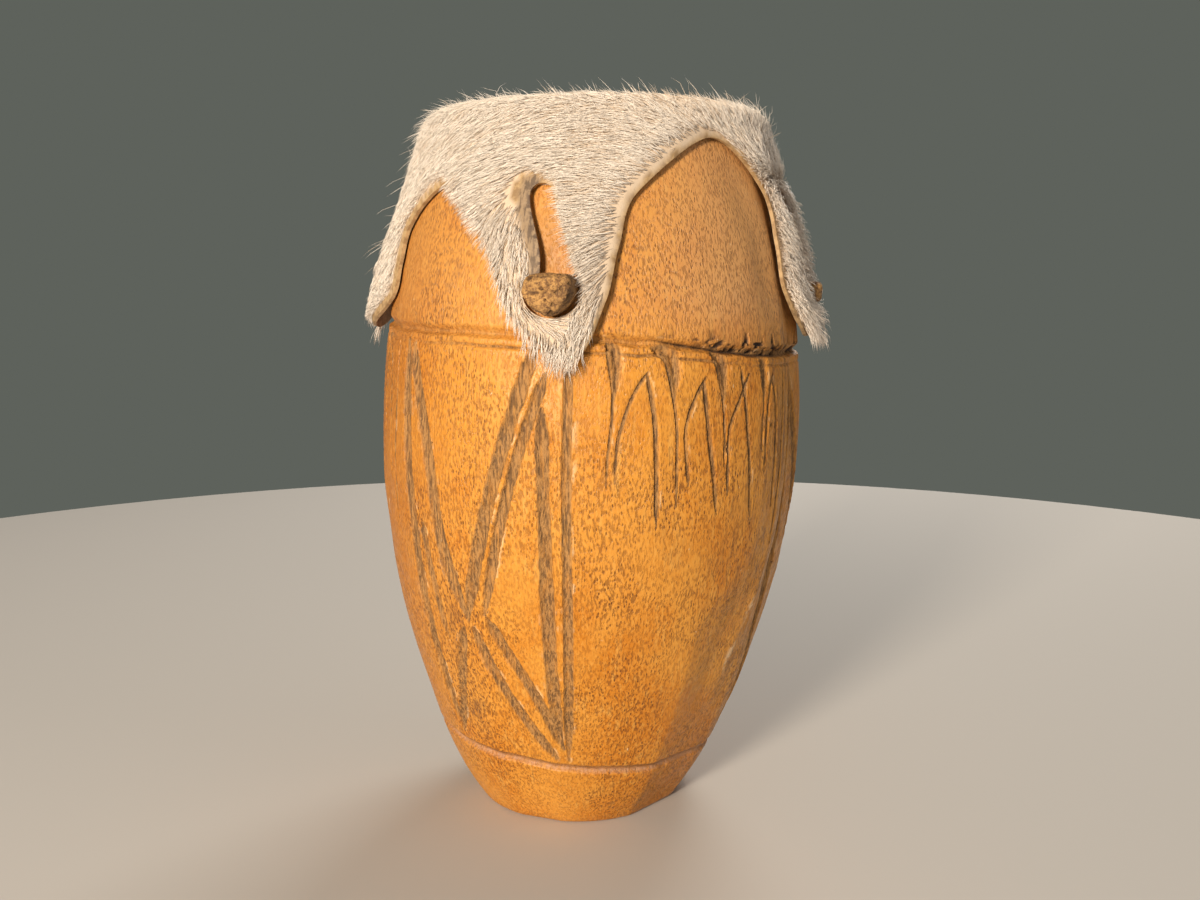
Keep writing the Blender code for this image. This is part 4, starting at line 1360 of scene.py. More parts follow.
class EdgeField:
    # distance to the hide's nearest edge, and which way is out over it

    def __init__(self, loops):
        self.samples, self.outward, self.slit = [], [], []
        for number, loop in enumerate(loops):
            fine = []
            for a, b in zip(loop, np.roll(loop, -1, axis=0)):
                step = b - a
                if number == 0:
                    step[0] = wrapTurn(step[0])
                fine += [a + step * k / 3 for k in range(3)]
            fine = np.array(fine)
            ahead = np.roll(fine, -1, axis=0) - np.roll(fine, 1, axis=0)
            ahead[:, 0] = wrapTurn(ahead[:, 0])
            east = ahead[:, 0] * radians(1) * turnedRadius(fine[:, 1])
            down = -ahead[:, 1]
            # the edge runs to the east with the hide above it; a slit runs the other way round
            normal = np.stack([-down, east], axis=1)
            normal /= np.linalg.norm(normal, axis=1)[:, None]
            self.samples.append(place(fine[:, 1], fine[:, 0], woodRadius(fine[:, 1], fine[:, 0])))
            self.outward.append(normal)
            self.slit.append(np.full(len(fine), number))
        self.samples = np.concatenate(self.samples)
        self.outward = np.concatenate(self.outward)
        self.slit = np.concatenate(self.slit)
        self.tree = KDTree(len(self.samples))
        for i, point in enumerate(self.samples):
            self.tree.insert(point, i)
        self.tree.balance()

    def near(self, azimuth, z):
        points = place(z, azimuth, woodRadius(z, azimuth))
        found = [self.tree.find(point) for point in points]
        index = np.array([hit[1] for hit in found])
        distance = np.array([hit[2] for hit in found])
        return distance, self.outward[index], self.slit[index]


def insideLoop(points, loop):
    # even-odd test of flat points against a flat closed loop
    inside = np.zeros(len(points), bool)
    x, y = points[:, 0], points[:, 1]
    for (ax, ay), (bx, by) in zip(loop, np.roll(loop, -1, axis=0)):
        crosses = (ay > y) != (by > y)
        if by != ay:
            inside ^= crosses & (x < (bx - ax) * (y - ay) / (by - ay) + ax)
    return inside


def insideHide(points, flatLoops):
    # inside the hide's outline and outside its slits
    inside = insideLoop(points, flatLoops[0])
    for slit in flatLoops[1:]:
        inside &= ~insideLoop(points, slit)
    return inside


def flowAt(azimuth, z, rho):
    # which way the hair lies, as (east, down) along the surface
    turn = np.radians(azimuth)
    east, down = -np.cos(turn), -np.sin(turn)
    below = smoothStep(rho, bendEnd + 0.002, 0.016)
    wrapped = wrapTurn(azimuth)
    rightSide = smoothStep(wrapped, 26, 18) * (1 - smoothStep(wrapped, 120, 40))
    nearSide = rightSide * (1 - smoothStep(wrapped, 70, 12))
    east = east * (1 - 0.9 * rightSide * below) - (0.35 + 0.50 * nearSide) * rightSide * below
    down = down * (1 - 0.9 * rightSide * below) + (0.95 - 0.25 * nearSide) * rightSide * below
    low = smoothStep(-z, -(form["pegHeight"] + 0.020), 0.022)
    down = down + 0.75 * low * (1 - rightSide)
    return east, down


def drawnTo(east, down, share, otherEast, otherDown):
    # a flow drawn towards another one by a share
    return east * (1 - share) + share * otherEast, down * (1 - share) + share * otherDown


def hideFlow(azimuth, z, rho, distance, outward, slit):
    east, down = flowAt(azimuth, z, rho)
    pegHeight = form["pegHeight"]
    # both branches of a lobe draw together below the peg
    for tipAzimuth, tipHeight, _ in lobes.values():
        away = wrapTurn(azimuth - tipAzimuth)
        inLobe = (np.abs(away) < 26) * smoothStep(-z, -(pegHeight + 0.006), 0.010)
        goEast = -radians(1) * away * hide["typicalRadius"]
        goDown = z - (tipHeight - 0.005)
        size = np.hypot(goEast, goDown) + 1e-6
        east, down = drawnTo(east, down, 0.8 * inLobe, goEast / size, goDown / size)
    # the left branch beside each slit hangs down with its own strip
    for _, _, pegAzimuth in lobes.values():
        away = wrapTurn(azimuth - pegAzimuth)
        strip = smoothStep(-away, 5, 4) * (1 - smoothStep(-away, 16, 6))
        strip = strip * smoothStep(-z, -0.134, 0.010) * (z > pegHeight - 0.004)
        east = east * (1 - 0.75 * strip) + 0.20 * strip
        down = down * (1 - 0.75 * strip) + 0.75 * strip
    # under a peg the hair sweeps round from its left to its right
    for _, _, pegAzimuth in lobes.values():
        away = radians(1) * wrapTurn(azimuth - pegAzimuth) * hide["typicalRadius"]
        sweep = np.exp(-np.maximum(distance - 0.0008, 0) / 0.0022)
        sweep = sweep * (slit > 0) * (np.abs(away) < 0.011)
        sweep = sweep * (1 - smoothStep(z, pegHeight - 0.001, 0.003))
        sweep = sweep * (1 - smoothStep(away, 0.0005, 0.004))
        east, down = drawnTo(east, down, 0.9 * sweep, -outward[:, 1], outward[:, 0])
    outflow = outward[:, 0] * east + outward[:, 1] * down
    pull = np.exp(-distance / 0.0022) * np.clip(outflow, 0, 1) * 0.8
    east, down = east + outward[:, 0] * pull, down + outward[:, 1] * pull
    size = np.hypot(east, down) + 1e-9
    return np.stack([east / size, down / size], axis=1), outflow


def rawWidth(azimuth, z, outward, slit):
    # raw skin is bared at the front slit's head, down the left lobe and round the right arch
    head = (slit == frontSlit) & (z > form["pegHeight"] + 0.0165) & (outward[:, 1] > -0.2)
    least, more = hide["headBare"]
    headWidth = least + more * np.clip(outward[:, 0] + 0.25, 0, 1)
    facing = (slit == 0) & (outward[:, 0] + outward[:, 1] * 0.6 > 0.35)
    leftEdge = facing & (azimuth > -104) & (azimuth < -45)
    rightArch = facing & (azimuth > 10) & (azimuth < 42)
    return np.select([head, leftEdge, rightArch], [headWidth, hide["leftBare"], hide["rightBare"]], -0.001)


def edgeLoops():
    # the hide's edge, then its slits
    slits = [slitLoop(pegAzimuth, pegSizes[name][0]) for name, (_, _, pegAzimuth) in lobes.items()]
    return [hideEdge(hide["edgeSamples"])] + slits


def flatMesh(flatLoops, edges):
    # points and triangles of the hide on the flat, with its edges among them
    step, reach = hide["meshStep"], hide["flatReach"]
    grid = []
    for row, q in enumerate(np.arange(-reach, reach, step * 0.866)):
        for p in np.arange(-reach, reach, step) + (step / 2 if row % 2 else 0):
            grid.append((p, q))
    grid = np.array(grid)
    grid = grid[insideHide(grid, flatLoops)]
    rho, azimuth, z = flatPlaces(grid)
    distance, _, _ = edges.near(azimuth, z)
    grid = grid[(distance > step * 0.45) | (rho < bendRadius)]

    segments, begin = [], 0
    for loop in flatLoops:
        count = len(loop)
        segments += [(begin + i, begin + (i + 1) % count) for i in range(count)]
        begin += count
    every = [Vector(point) for point in np.concatenate([*flatLoops, grid])]
    made = delaunay_2d_cdt(every, segments, [], 1, 1e-7)
    flat = np.array([tuple(point) for point in made[0]])
    faces = np.array([face for face in made[2] if len(face) == 3])
    faces = faces[insideHide(flat[faces].mean(axis=1), flatLoops)]
    a, b, c = (flat[faces[:, k]] for k in range(3))
    turned = (b[:, 0] - a[:, 0]) * (c[:, 1] - a[:, 1]) - (b[:, 1] - a[:, 1]) * (c[:, 0] - a[:, 0]) < 0
    faces[turned] = faces[turned][:, ::-1]
    used = np.unique(faces)
    renumber = np.full(len(flat), -1)
    renumber[used] = np.arange(len(used))
    return flat[used], renumber[faces]


def closedSheet(faces, count):
    # the outer faces, the inner faces, and rim faces along every edge of only one triangle
    sides = np.concatenate([faces[:, [0, 1]], faces[:, [1, 2]], faces[:, [2, 0]]])
    key = np.sort(sides, axis=1)
    _, first, counts = np.unique(key, axis=0, return_index=True, return_counts=True)
    border = sides[first[counts == 1]]
    rim = np.stack([border[:, 1], border[:, 0], border[:, 0] + count, border[:, 1] + count], axis=1)
    return faces.tolist() + (faces[:, ::-1] + count).tolist() + rim.tolist()


def buildSkin(material, loops, edges):
    flatLoops = [toFlat(loop) for loop in loops]
    flat, faces = flatMesh(flatLoops, edges)
    rho, azimuth, z = flatPlaces(flat)
    distance, outward, slit = edges.near(azimuth, z)
    distance = np.where(rho < bendRadius, 0.02, distance)
    ripple = softNoise(flat, 0.006, 31)
    flap = (slit > 0) * (outward[:, 0] > 0.25) * np.clip(1 - distance / stripWidth(z), 0, 1) ** 1.5
    flap = flap * smoothStep(z, form["pegHeight"] + 0.0005, 0.003)
    base = lobeSwell(azimuth, z) * 0.8 + flap * hide["flapLift"]
    base = base + 0.00012 * ripple * np.clip(1 - distance / 0.004, 0, 1)
    base = np.maximum(base, 0.0)
    # the skin thins to a rounded edge
    rounding = np.sqrt(np.clip(distance / 0.0007, 0.0, 1.0)) * 0.5 + 0.5
    topLift = base + (rounding - 1) * hide["skin"] * 0.55
    underLift = base - hide["skin"] + (1 - rounding) * hide["skin"] * 0.25
    folded = shifted(flat, foldShift(z, distance, outward, slit))
    top = fromFlat(folded[:, 0], folded[:, 1], topLift)
    under = fromFlat(folded[:, 0], folded[:, 1], underLift)
    mesh = bpy.data.meshes.new("goatSkin")
    mesh.from_pydata(np.concatenate([top, under]).tolist(), [], closedSheet(faces, len(flat)))
    mesh.update()
    skin = linkedObject("goatSkin", mesh)

    # bare skin, curled strips (their colour partly painted shade) and a near-black line along their edges,
    # for the colour
    edgeBand = 1 - smoothStep(distance, hide["bareBand"] * 0.7, hide["bareBand"] * 0.6)
    edgeBand = edgeBand * ~((slit > 0) & (z < form["pegHeight"] + 0.001))
    rawBand = 1 - smoothStep(distance - rawWidth(azimuth, z, outward, slit), -0.0003, 0.0003)
    edgeBand = np.maximum(edgeBand, rawBand)
    writeAttribute(mesh, "bare", np.concatenate([edgeBand, np.ones(len(flat))]))
    writeAttribute(mesh, "flap", np.concatenate([smoothStep(flap, 0.0, 0.06), np.zeros(len(flat))]))
    # a ragged near-black line along the curled strip's edge
    flapEdgeLine = (flap > 0) * (1 - smoothStep(distance, 0.0002, 0.0005))
    writeAttribute(mesh, "flapEdgeLine", np.concatenate([flapEdgeLine, flapEdgeLine]))
    makeActive(skin)
    bpy.ops.object.shade_smooth_by_angle(angle=radians(hide["smoothAngle"]))
    a, b, c = (top[faces[:, k]] for k in range(3))
    area = 0.5 * np.linalg.norm(np.cross(b - a, c - a), axis=1).sum()
    print(f"goatSkin: {area * 1e4:.1f} square centimetres")
    finishPiece(skin, "goat_hide", material)
    return skin, float(area)


hairLook = {
    "count": 56000,
    "strays": 5600,
    "wildShare": 0.035,
    "length": (0.0046, 0.0070),
    "wildLength": (0.0035, 0.0065),
    "rootRadius": 0.000085,
    "lay": (0.0003, 0.0017),
    "wildLay": (0.0032, 0.0052),
    "crownShare": 0.55,
    "skirtShare": 0.88,
    "clumpSizes": (0.0035, 0.0013),
    "curl": 0.10,
    "crownRings": (0.5,),
    "skirtRings": (0.34, 0.68),
    "frontFrom": -62.0,
    "frontTo": 50.0,
    "sidesWithin": 110.0,
    "seed": 7,
}


def strandTemplate(rings):
    # one hair, modelled once: a three-sided needle from root to tip
    deselectAll()
    bpy.ops.mesh.primitive_cone_add(
        vertices=3, radius1=1.0, radius2=0.0, depth=1.0, location=(0, 0, 0.5), end_fill_type="NGON"
    )
    cone = bpy.context.object
    makeActive(cone)
    bpy.ops.object.mode_set(mode="EDIT")
    for share in rings:
        bpy.ops.mesh.select_all(action="SELECT")
        bpy.ops.mesh.bisect(plane_co=(0, 0, share), plane_no=(0, 0, 1))
    bpy.ops.mesh.select_all(action="SELECT")
    bpy.ops.mesh.quads_convert_to_tris()
    bpy.ops.object.mode_set(mode="OBJECT")
    cone.data.transform(cone.matrix_world)
    points = readPoints(cone.data)
    faces = np.array([tuple(face.vertices) for face in cone.data.polygons])
    bpy.data.objects.remove(cone, do_unlink=True)
    return points, faces


def hairLines(coat, along):
    # the middle of every hair at each height of the template, lying along the hide
    roots, ways, lengths = coat["roots"], coat["ways"], coat["lengths"][:, None]
    share = np.tile(along, (len(roots), 1))
    reach = lengths * (share - 0.10 * share**2)
    bend = coat["curl"][:, None] * share**2
    east = ways[:, 0][:, None] * reach - ways[:, 1][:, None] * bend * lengths
    down = ways[:, 1][:, None] * reach + ways[:, 0][:, None] * bend * lengths
    rho, azimuth, z = flatPlaces(roots)
    real = np.where(rho > bendEnd, woodRadius(z, azimuth), np.maximum(rho, 1e-3))
    east = east * np.where(rho > bendRadius, rho / real, 1.0)[:, None]
    turn = np.arctan2(roots[:, 0], -roots[:, 1])[:, None]
    p = roots[:, 0][:, None] + np.cos(turn) * east + np.sin(turn) * down
    q = roots[:, 1][:, None] + np.sin(turn) * east - np.cos(turn) * down
    flat = np.stack([p.ravel(), q.ravel()], axis=1)
    _, tipAzimuth, tipZ = flatPlaces(flat)
    rootSwell = lobeSwell(azimuth, z)[:, None]
    tipSwell = lobeSwell(tipAzimuth, tipZ).reshape(p.shape)
    lift = -0.0002 + coat["lays"][:, None] * (1 - (1 - share) ** coat["rises"][:, None])
    lift = lift + 0.8 * np.maximum(tipSwell, rootSwell * 0.9)
    return fromFlat(flat[:, 0], flat[:, 1], lift.ravel()).reshape(*p.shape, 3), share


def unitWays(ways):
    return ways / (np.linalg.norm(ways, axis=2)[:, :, None] + 1e-12)


def growHair(name, coat, template):
    # every hair is a copy of the template, bent along the hide and merged into one mesh
    points, faces = template
    along = points[:, 2]
    angle = np.arctan2(points[:, 1], points[:, 0])
    centres, share = hairLines(coat, along)
    count, per = share.shape
    # the way each hair runs, from its own centre line
    levels = np.unique(np.round(along, 5))
    line = np.stack([centres[:, np.argmin(np.abs(along - level))] for level in levels], axis=1)
    ahead = unitWays(np.gradient(line, axis=1))[:, np.searchsorted(levels, np.round(along, 5))]
    side = unitWays(np.cross(ahead, np.broadcast_to((0.0, 0.0, 1.0), ahead.shape)))
    other = np.cross(ahead, side)
    thick = coat["radii"][:, None] * (1 - share) ** 0.55
    offset = side * (np.cos(angle) * thick)[..., None] + other * (np.sin(angle) * thick)[..., None]
    verts = (centres + offset).reshape(-1, 3)
    corners = (faces[None] + (np.arange(count) * per)[:, None, None]).ravel()
    mesh = bpy.data.meshes.new(name)
    mesh.vertices.add(len(verts))
    mesh.vertices.foreach_set("co", verts.astype(np.float32).ravel())
    mesh.loops.add(len(corners))
    mesh.loops.foreach_set("vertex_index", corners.astype(np.int32))
    mesh.polygons.add(len(corners) // 3)
    mesh.polygons.foreach_set("loop_start", np.arange(0, len(corners), 3, dtype=np.int32))
    mesh.update()
    # the UV map holds each hair's tone across and the way along it upwards
    around, across = np.cos(angle)[None], np.sin(angle)[None]
    u = np.clip(coat["tones"], 0.01, 0.99)[:, None] + around * 0.004 + across * 0.001
    v = np.clip(0.01 + 0.98 * share + 0.003 * across, 0, 1)
    uv = np.stack([u.ravel()[corners], v.ravel()[corners]], axis=1)
    layer = mesh.uv_layers.new(name="OFBake")
    layer.data.foreach_set("uv", uv.astype(np.float32).ravel())
    mesh.validate()
    obj = linkedObject(name, mesh)
    faceOutwards(obj)
    return obj


def picked(coat, keep, most=None):
    return {key: values[keep][:most] for key, values in coat.items()}


def sowHair(random, loops, edges):
    # roots all over the hide, but for bare bands along its edges
    look, pegHeight = hairLook, form["pegHeight"]
    reach = hide["flatReach"]
    roots = random.uniform(-reach, reach, (look["count"] * 5, 2))
    roots = roots[insideHide(roots, [toFlat(loop) for loop in loops])]
    rho, azimuth, z = flatPlaces(roots)
    real = np.where(rho > bendRadius, woodRadius(z, azimuth) / np.maximum(rho, 1e-4), 1.0)
    dense = np.where(rho < bendRadius - 0.006, look["crownShare"], look["skirtShare"])
    keep = random.random(len(roots)) < np.clip(real, 0, 1) * dense
    coat = {"roots": roots, "rho": rho, "azimuth": azimuth, "z": z}
    coat = picked(coat, keep, int(look["count"] * 1.25))
    rho, azimuth, z = coat["rho"], coat["azimuth"], coat["z"]
    distance, outward, slit = edges.near(azimuth, z)
    distance = np.where(rho < bendRadius, 0.03, distance)
    ways, outflow = hideFlow(azimuth, z, rho, distance, outward, slit)
    # bare where the hair lies away from an edge, and a short fringe where it runs over it
    band = hide["bareBand"] * (0.75 + 0.5 * random.random(len(rho)))
    band = np.where(outflow > 0.1, 0.0004, band)
    onStrip = (slit > 0) & (outward[:, 0] > 0.25) & (z > pegHeight + 0.001)
    band = np.where(onStrip, stripWidth(z) * 0.80, band)
    band = np.maximum(band, rawWidth(azimuth, z, outward, slit))
    band = np.where((slit > 0) & (z < pegHeight + 0.001), 0.0002, band)
    band = np.where((slit > 0) & (outward[:, 0] < -0.25) & (z > pegHeight), 0.0010, band)
    fold = foldShift(z, distance, outward, slit)
    coat |= {"distance": distance, "outflow": outflow, "ways": ways, "slit": slit, "fold": fold}
    coat = picked(coat, distance > band, look["count"])
    coat["roots"] = shifted(coat["roots"], coat["fold"])
    return coat


def combHair(random, coat, edges):
    # the way, length, lift and tone of every hair
    look, pegHeight = hairLook, form["pegHeight"]
    rho, azimuth, z = coat["rho"], coat["azimuth"], coat["z"]
    distance, outflow, slit = coat["distance"], coat["outflow"], coat["slit"]
    count = len(rho)
    big, small = look["clumpSizes"]
    clump = softNoise(coat["roots"], big, 41) * 0.6 + softNoise(coat["roots"], small, 42) * 0.4
    ways = turnWays(coat["ways"], 0.16 * clump + random.normal(0, 0.11, count))
    lengths = random.uniform(*look["length"], count)
    # shorter towards an edge and beside a slit, longer in a lobe's tuft
    edgeShort = np.clip(distance / 0.004, 0.0, 1.0)
    lengths = np.where(outflow > 0.1, lengths * (0.50 + 0.50 * edgeShort), lengths)
    lengths = np.where((slit > 0) & (distance < 0.003), lengths * 0.55, lengths)
    lengths = np.where(z < pegHeight - 0.0055, lengths * 1.15, lengths)
    # cut short where a hair would lie over raw skin
    for share, left in ((0.55, 0.45), (0.95, 0.72)):
        aheadAzimuth = azimuth + np.degrees(ways[:, 0] * lengths * share / 0.045)
        aheadZ = z - ways[:, 1] * lengths * share
        gap, aheadOut, aheadSlit = edges.near(aheadAzimuth, aheadZ)
        covered = (gap < rawWidth(aheadAzimuth, aheadZ, aheadOut, aheadSlit)) & (rho > bendRadius)
        lengths = np.where(covered, lengths * left, lengths)
    tip = hump(azimuth, -98, 16) * (z < pegHeight + 0.003)
    lengths = lengths * (1 + 0.9 * tip * random.random(count))
    fringe = (azimuth > -24) & (azimuth < 6) & (z < pegHeight + 0.003)
    fringe = fringe & (outflow > 0.1) & (slit == 0)
    lengths = np.where(fringe, lengths * random.uniform(0.9, 1.7, count), lengths)
    # the right lobe's coat is thicker and flares out below its peg
    lays = random.uniform(*look["lay"], count) * (1 + 0.25 * clump)
    onRight = smoothStep(wrapTurn(azimuth), 44, 10) * (1 - smoothStep(azimuth, 100, 20))
    onRight = onRight * (1 - smoothStep(z, 0.128, 0.012))
    lays = lays * (1 + 0.8 * onRight) + 0.0004 * onRight
    flare = onRight * smoothStep(-z, -pegHeight, 0.004)
    lengths = lengths * (1 + 0.25 * flare)
    lays = lays + 0.0016 * flare * random.random(count)
    ways = turnWays(ways, random.normal(0, 0.35, count) * np.clip(onRight + flare, 0, 1))
    radii = look["rootRadius"] * random.uniform(0.7, 1.2, count)
    tones = np.clip(0.5 + 0.28 * clump + random.normal(0, 0.20, count), 0.02, 0.98)
    tanPatch = hump(wrapTurn(azimuth), 36, 22) * hump(rho - bendRadius, 0, 0.006)
    coat |= {
        "ways": ways, "lengths": lengths, "lays": lays, "radii": radii,
        "tones": np.clip(tones - 0.45 * tanPatch, 0.02, 0.98),
        "curl": random.normal(0, look["curl"], count), "rises": np.full(count, 2.2),
    }


def loosenHair(random, coat):
    # loose hairs that stand off the coat, most of them round the top edge
    look = hairLook
    rho, azimuth, z = coat["rho"], coat["azimuth"], coat["z"]
    edgeOn = 0.45 + 3.0 * hump(rho - bendRadius, 0.002, 0.007)
    edgeOn = edgeOn + 1.2 * hump(azimuth, -78, 26) * (z > form["pegHeight"] + 0.008)
    strays = random.choice(len(rho), look["strays"], replace=False, p=edgeOn / edgeOn.sum())
    count = len(strays)
    shoulder = hump(rho[strays] - bendRadius, 0.002, 0.010)
    standing = random.uniform(0.25, 1.0, count) * (0.35 + 0.65 * shoulder)
    coat["rises"][strays] = random.uniform(1.0, 1.5, count)
    coat["lays"][strays] = 0.0009 + 0.0030 * standing * random.uniform(0.3, 1.0, count)
    coat["lengths"][strays] *= 0.95 - 0.55 * standing
    coat["ways"][strays] = turnWays(coat["ways"][strays], random.normal(0, 0.6, count))
    coat["radii"][strays] *= 0.7
    # a few hairs stand well clear of the rest
    wild = strays[random.random(count) < look["wildShare"]]
    coat["lays"][wild] = random.uniform(*look["wildLay"], len(wild))
    coat["lengths"][wild] = random.uniform(*look["wildLength"], len(wild))
    coat["curl"][wild] = random.normal(0, 0.5, len(wild))


def buildHair(material, loops, edges):
    look = hairLook
    random = np.random.default_rng(look["seed"])
    coat = sowHair(random, loops, edges)
    combHair(random, coat, edges)
    loosenHair(random, coat)
    crownTemplate = strandTemplate(look["crownRings"])
    skirtTemplate = strandTemplate(look["skirtRings"])
    azimuth = wrapTurn(coat["azimuth"])
    crown = coat["rho"] < bendRadius + 0.001
    front = ~crown & (azimuth > look["frontFrom"]) & (azimuth < look["frontTo"])
    sides = ~crown & ~front & (np.abs(azimuth) < look["sidesWithin"])
    pieces = []
    for name, chosen, template in (
        ("hairCrown", crown, crownTemplate), ("hairFront", front, skirtTemplate),
        ("hairLeft", sides & (azimuth < 0), skirtTemplate),
        ("hairRight", sides & (azimuth >= 0), skirtTemplate),
        ("hairBack", ~crown & ~front & ~sides, crownTemplate),
    ):
        piece = growHair(name, picked(coat, chosen), template)
        finishPiece(piece, None, material)
        pieces.append(piece)
    return pieces


hideLook = {
    "hairRoot": (0.66, 0.54, 0.42, 1.0),
    "hairPale": (0.96, 0.89, 0.81, 1.0),
    "hairTan": (0.80, 0.66, 0.52, 1.0),
    "skin": (0.64, 0.51, 0.38, 1.0),
    "raw": (0.50, 0.34, 0.17, 1.0),
    "rawDark": (0.30, 0.185, 0.085, 1.0),
    # the curled strip: its flesh side, darkened further with painted shade
    "flap": (0.33, 0.225, 0.130, 1.0),
    "flapDark": (0.14, 0.092, 0.055, 1.0),
    # near-black line along the curled strip's edge
    "flapEdgeLine": (0.080, 0.045, 0.028, 1.0),
    "hairRoughness": 0.48,
    "hairShine": 0.35,
    "skinRoughness": 0.62,
    "wrinkles": 0.0002,
}


def makeHairMaterial():
    h = hideLook
    made, tree, shader, _ = newMaterial("goatHair")
    uv = addNode(tree, "ShaderNodeUVMap", uv_map="OFBake").outputs[0]
    parts = addNode(tree, "ShaderNodeSeparateXYZ", {"Vector": uv})
    tone, along = parts.outputs[0], parts.outputs[1]
    strand = mixColour(tree, rampValue(tree, tone, 0.04, 0.42, 1.0, 0.0), h["hairPale"], h["hairTan"])
    colour = mixColour(tree, rampValue(tree, along, 0.0, 0.40, 0.85, 0.0), strand, h["hairRoot"])
    tree.links.new(colour, shader.inputs["Base Color"])
    shader.inputs["Roughness"].default_value = h["hairRoughness"]
    shader.inputs["Specular IOR Level"].default_value = h["hairShine"]
    return made


def makeSkinMaterial():
    h = hideLook
    made, tree, shader, vector = newMaterial("rawHide")
    mottled = rampValue(tree, noiseValue(tree, vector, 700.0, 4.0, 0.65), 0.36, 0.62)
    raw = mixColour(tree, mottled, h["rawDark"], h["raw"])
    colour = mixColour(tree, attributeValue(tree, "bare"), h["skin"], raw)
    creased = rampValue(tree, grainNoise(tree, vector, 0.12, 1300.0, 3.0, 0.6), 0.40, 0.58)
    # the curled strip's flesh side with creases, darkened with painted shade
    shadedFlesh = mixColour(tree, creased, h["flapDark"], h["flap"])
    colour = mixColour(tree, attributeValue(tree, "flap"), colour, shadedFlesh)
    # the near-black line along the curled strip's edge, ragged
    ragged = rampValue(tree, noiseValue(tree, vector, 900.0, 3.0, 0.6), 0.42, 0.56)
    flapEdgeLine = multiplied(tree, attributeValue(tree, "flapEdgeLine"), ragged)
    colour = mixColour(tree, flapEdgeLine, colour, h["flapEdgeLine"])
    tree.links.new(colour, shader.inputs["Base Color"])
    shader.inputs["Roughness"].default_value = h["skinRoughness"]
    linkBump(tree, shader, noiseValue(tree, vector, 1100.0, 4.0, 0.6), 0.6, h["wrinkles"])
    return made


# Pegs: whittled stubs with a rough broken end

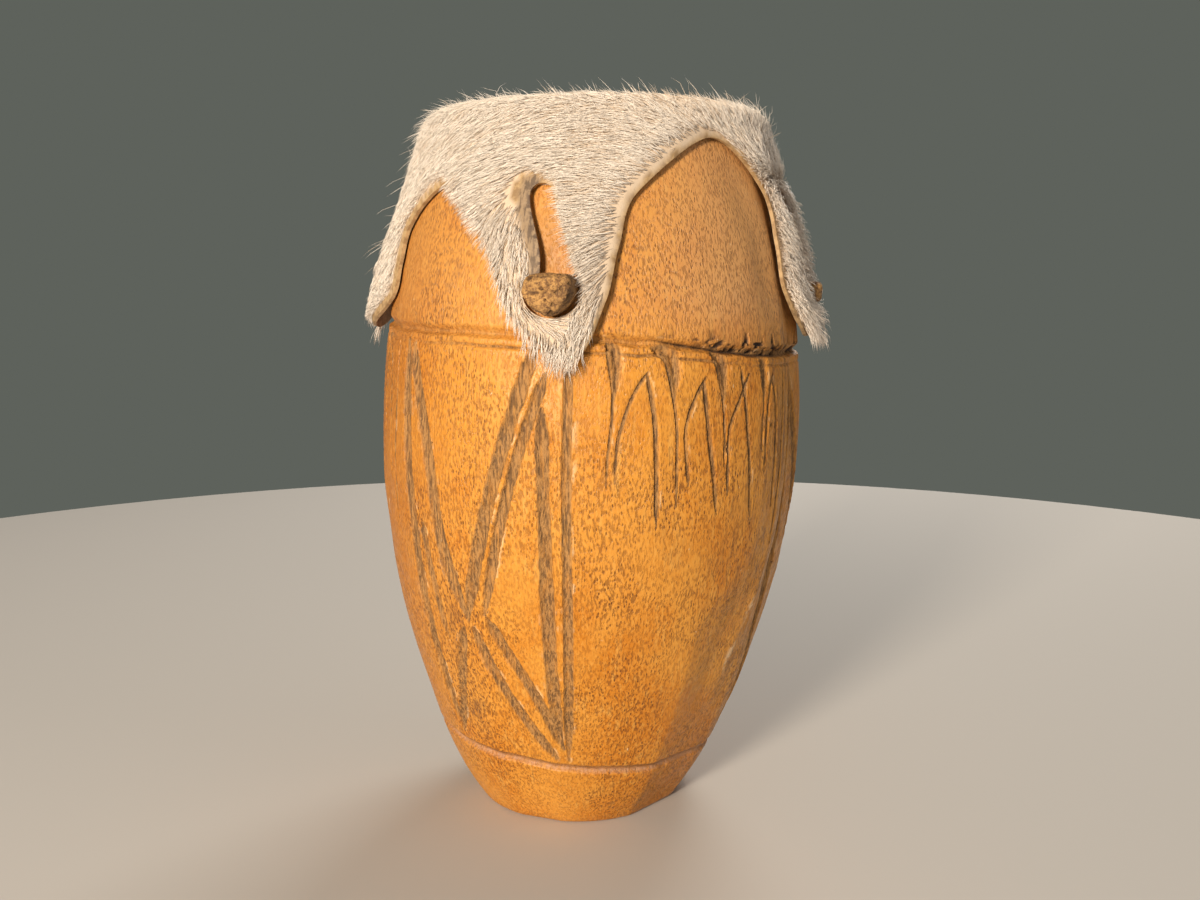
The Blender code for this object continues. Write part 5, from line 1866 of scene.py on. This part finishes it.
def buildPeg(name, pegAzimuth, sizes, seed):
    f = pegForm
    scale, proud = sizes
    deselectAll()
    bpy.ops.mesh.primitive_uv_sphere_add(segments=f["segments"], ring_count=f["rings"], radius=1.0)
    peg = bpy.context.object
    peg.name = name
    points = readPoints(peg.data)
    share = 1 - np.arccos(np.clip(points[:, 2], -1, 1)) / pi
    turn = np.arctan2(points[:, 1], points[:, 0])
    # share of the way along, reach beyond the wood, and width of the outline there
    stations = np.array([
        (0.0, -f["sunk"], 0.0), (0.10, -f["sunk"], 0.80), (0.18, -f["sunk"] * 0.7, 1.0),
        (0.55, proud * 0.55, 1.0), (0.66, proud * 0.78, f["head"]),
        (0.76, proud * 0.93, 0.90), (0.86, proud * 0.99, 0.62), (1.0, proud, 0.0),
    ])
    reach = np.interp(share, stations[:, 0], stations[:, 1])
    size = np.interp(share, stations[:, 0], stations[:, 2]) * scale
    # the outline is squarer above than below, and narrower below
    sideways, upwards = np.cos(turn), np.sin(turn)
    rounded = np.where(upwards > 0, f["above"], f["below"])
    square = np.where(upwards > 0, *f["square"])
    across = np.sign(sideways) * np.abs(sideways) ** square * f["width"] / 2
    across = across * (1 - f["narrowing"] * np.clip(-upwards, 0, 1) ** 0.8)
    upward = np.sign(upwards) * np.abs(upwards) ** square * rounded
    local = np.stack([across * size, reach, upward * size], axis=1)
    # lumps and dents of the broken end
    rough = smoothStep(reach, proud * 0.25, proud * 0.45)
    big, small = f["lumpSizes"]
    lump = softNoise(local + seed, big, 51 + seed) * 0.55 + softNoise(local + seed, small, 52) * 0.45
    dents = smoothStep(softNoise(local + seed, f["dentSize"], 53 + seed), 0.40, 0.25)
    grow = np.minimum(rough * (f["lumpHeight"] * lump - f["dentDepth"] * dents), f["mostGrowth"])
    away = local.copy()
    away[:, 1] = np.where(share > 0.8, 0.004 * (share - 0.8) / 0.2, 0.0)
    away /= np.linalg.norm(away, axis=1)[:, None] + 1e-9
    away = np.where(share[:, None] < 0.15, 0.0, away)
    local = local + away * grow[:, None]
    # painted shade: darker towards the peg's lower side and its right, added to the pits' mask below
    shaded = 0.8 * smoothStep(-local[:, 2], 0.0018 * scale, 0.0018 * scale)
    shaded = np.maximum(smoothStep(local[:, 0], 0.0022 * scale, 0.0020 * scale), shaded)
    angle = radians(pegAzimuth)
    out = np.array([sin(angle), -cos(angle), 0.0])
    side = np.array([cos(angle), sin(angle), 0.0])
    height = form["pegHeight"]
    start = place(height, pegAzimuth, float(woodRadius(height, pegAzimuth)))
    world = start + side * local[:, :1] + out * local[:, 1:2]
    world[:, 2] += local[:, 2]
    writePoints(peg.data, world)
    pitsAndShade = rough * (0.10 + 1.1 * dents - 0.5 * lump + 0.5 * shaded)
    writeAttribute(peg.data, "cut", np.clip(pitsAndShade, 0, 1))
    faceOutwards(peg)
    return peg


pegLook = {
    "light": (0.60, 0.330, 0.108, 1.0),
    "dark": (0.190, 0.088, 0.032, 1.0),
    "grit": (0.62, 0.42, 0.22, 1.0),
    # the pits' colour, also used for the painted shade on the lower right
    "pits": (0.075, 0.036, 0.016, 1.0),
    "roughness": 0.72,
    "bump": 0.00045,
}


def makePegMaterial():
    look = pegLook
    made, tree, shader, vector = newMaterial("pegBark")
    mottled = rampValue(tree, noiseValue(tree, vector, 1500.0, 5.0, 0.75), 0.38, 0.60)
    colour = mixColour(tree, mottled, look["dark"], look["light"])
    gritty = rampValue(tree, noiseValue(tree, vector, 2600.0, 2.0), 0.62, 0.72, 0.0, 0.5)
    colour = mixColour(tree, gritty, colour, look["grit"])
    # the pits, and painted shade on the peg's lower side and right
    pitsAndShade = multiplied(tree, attributeValue(tree, "cut"), 0.92)
    colour = mixColour(tree, pitsAndShade, colour, look["pits"])
    tree.links.new(colour, shader.inputs["Base Color"])
    shader.inputs["Roughness"].default_value = look["roughness"]
    linkBump(tree, shader, noiseValue(tree, vector, 1500.0, 4.0, 0.7), 1.0, look["bump"])
    return made


def main():
    buildStage()
    buildBody(makeWoodMaterial(makePoreGroup(), makeStainGroup()))
    loops = edgeLoops()
    edges = EdgeField(loops)
    skin, area = buildSkin(makeSkinMaterial(), loops, edges)
    hair = buildHair(makeHairMaterial(), loops, edges)
    pegBark = makePegMaterial()
    for number, (name, (_, _, pegAzimuth)) in enumerate(lobes.items()):
        peg = buildPeg(f"peg{name.capitalize()}", pegAzimuth, pegSizes[name], number)
        finishPiece(peg, f"peg_{name}", pegBark)


main()
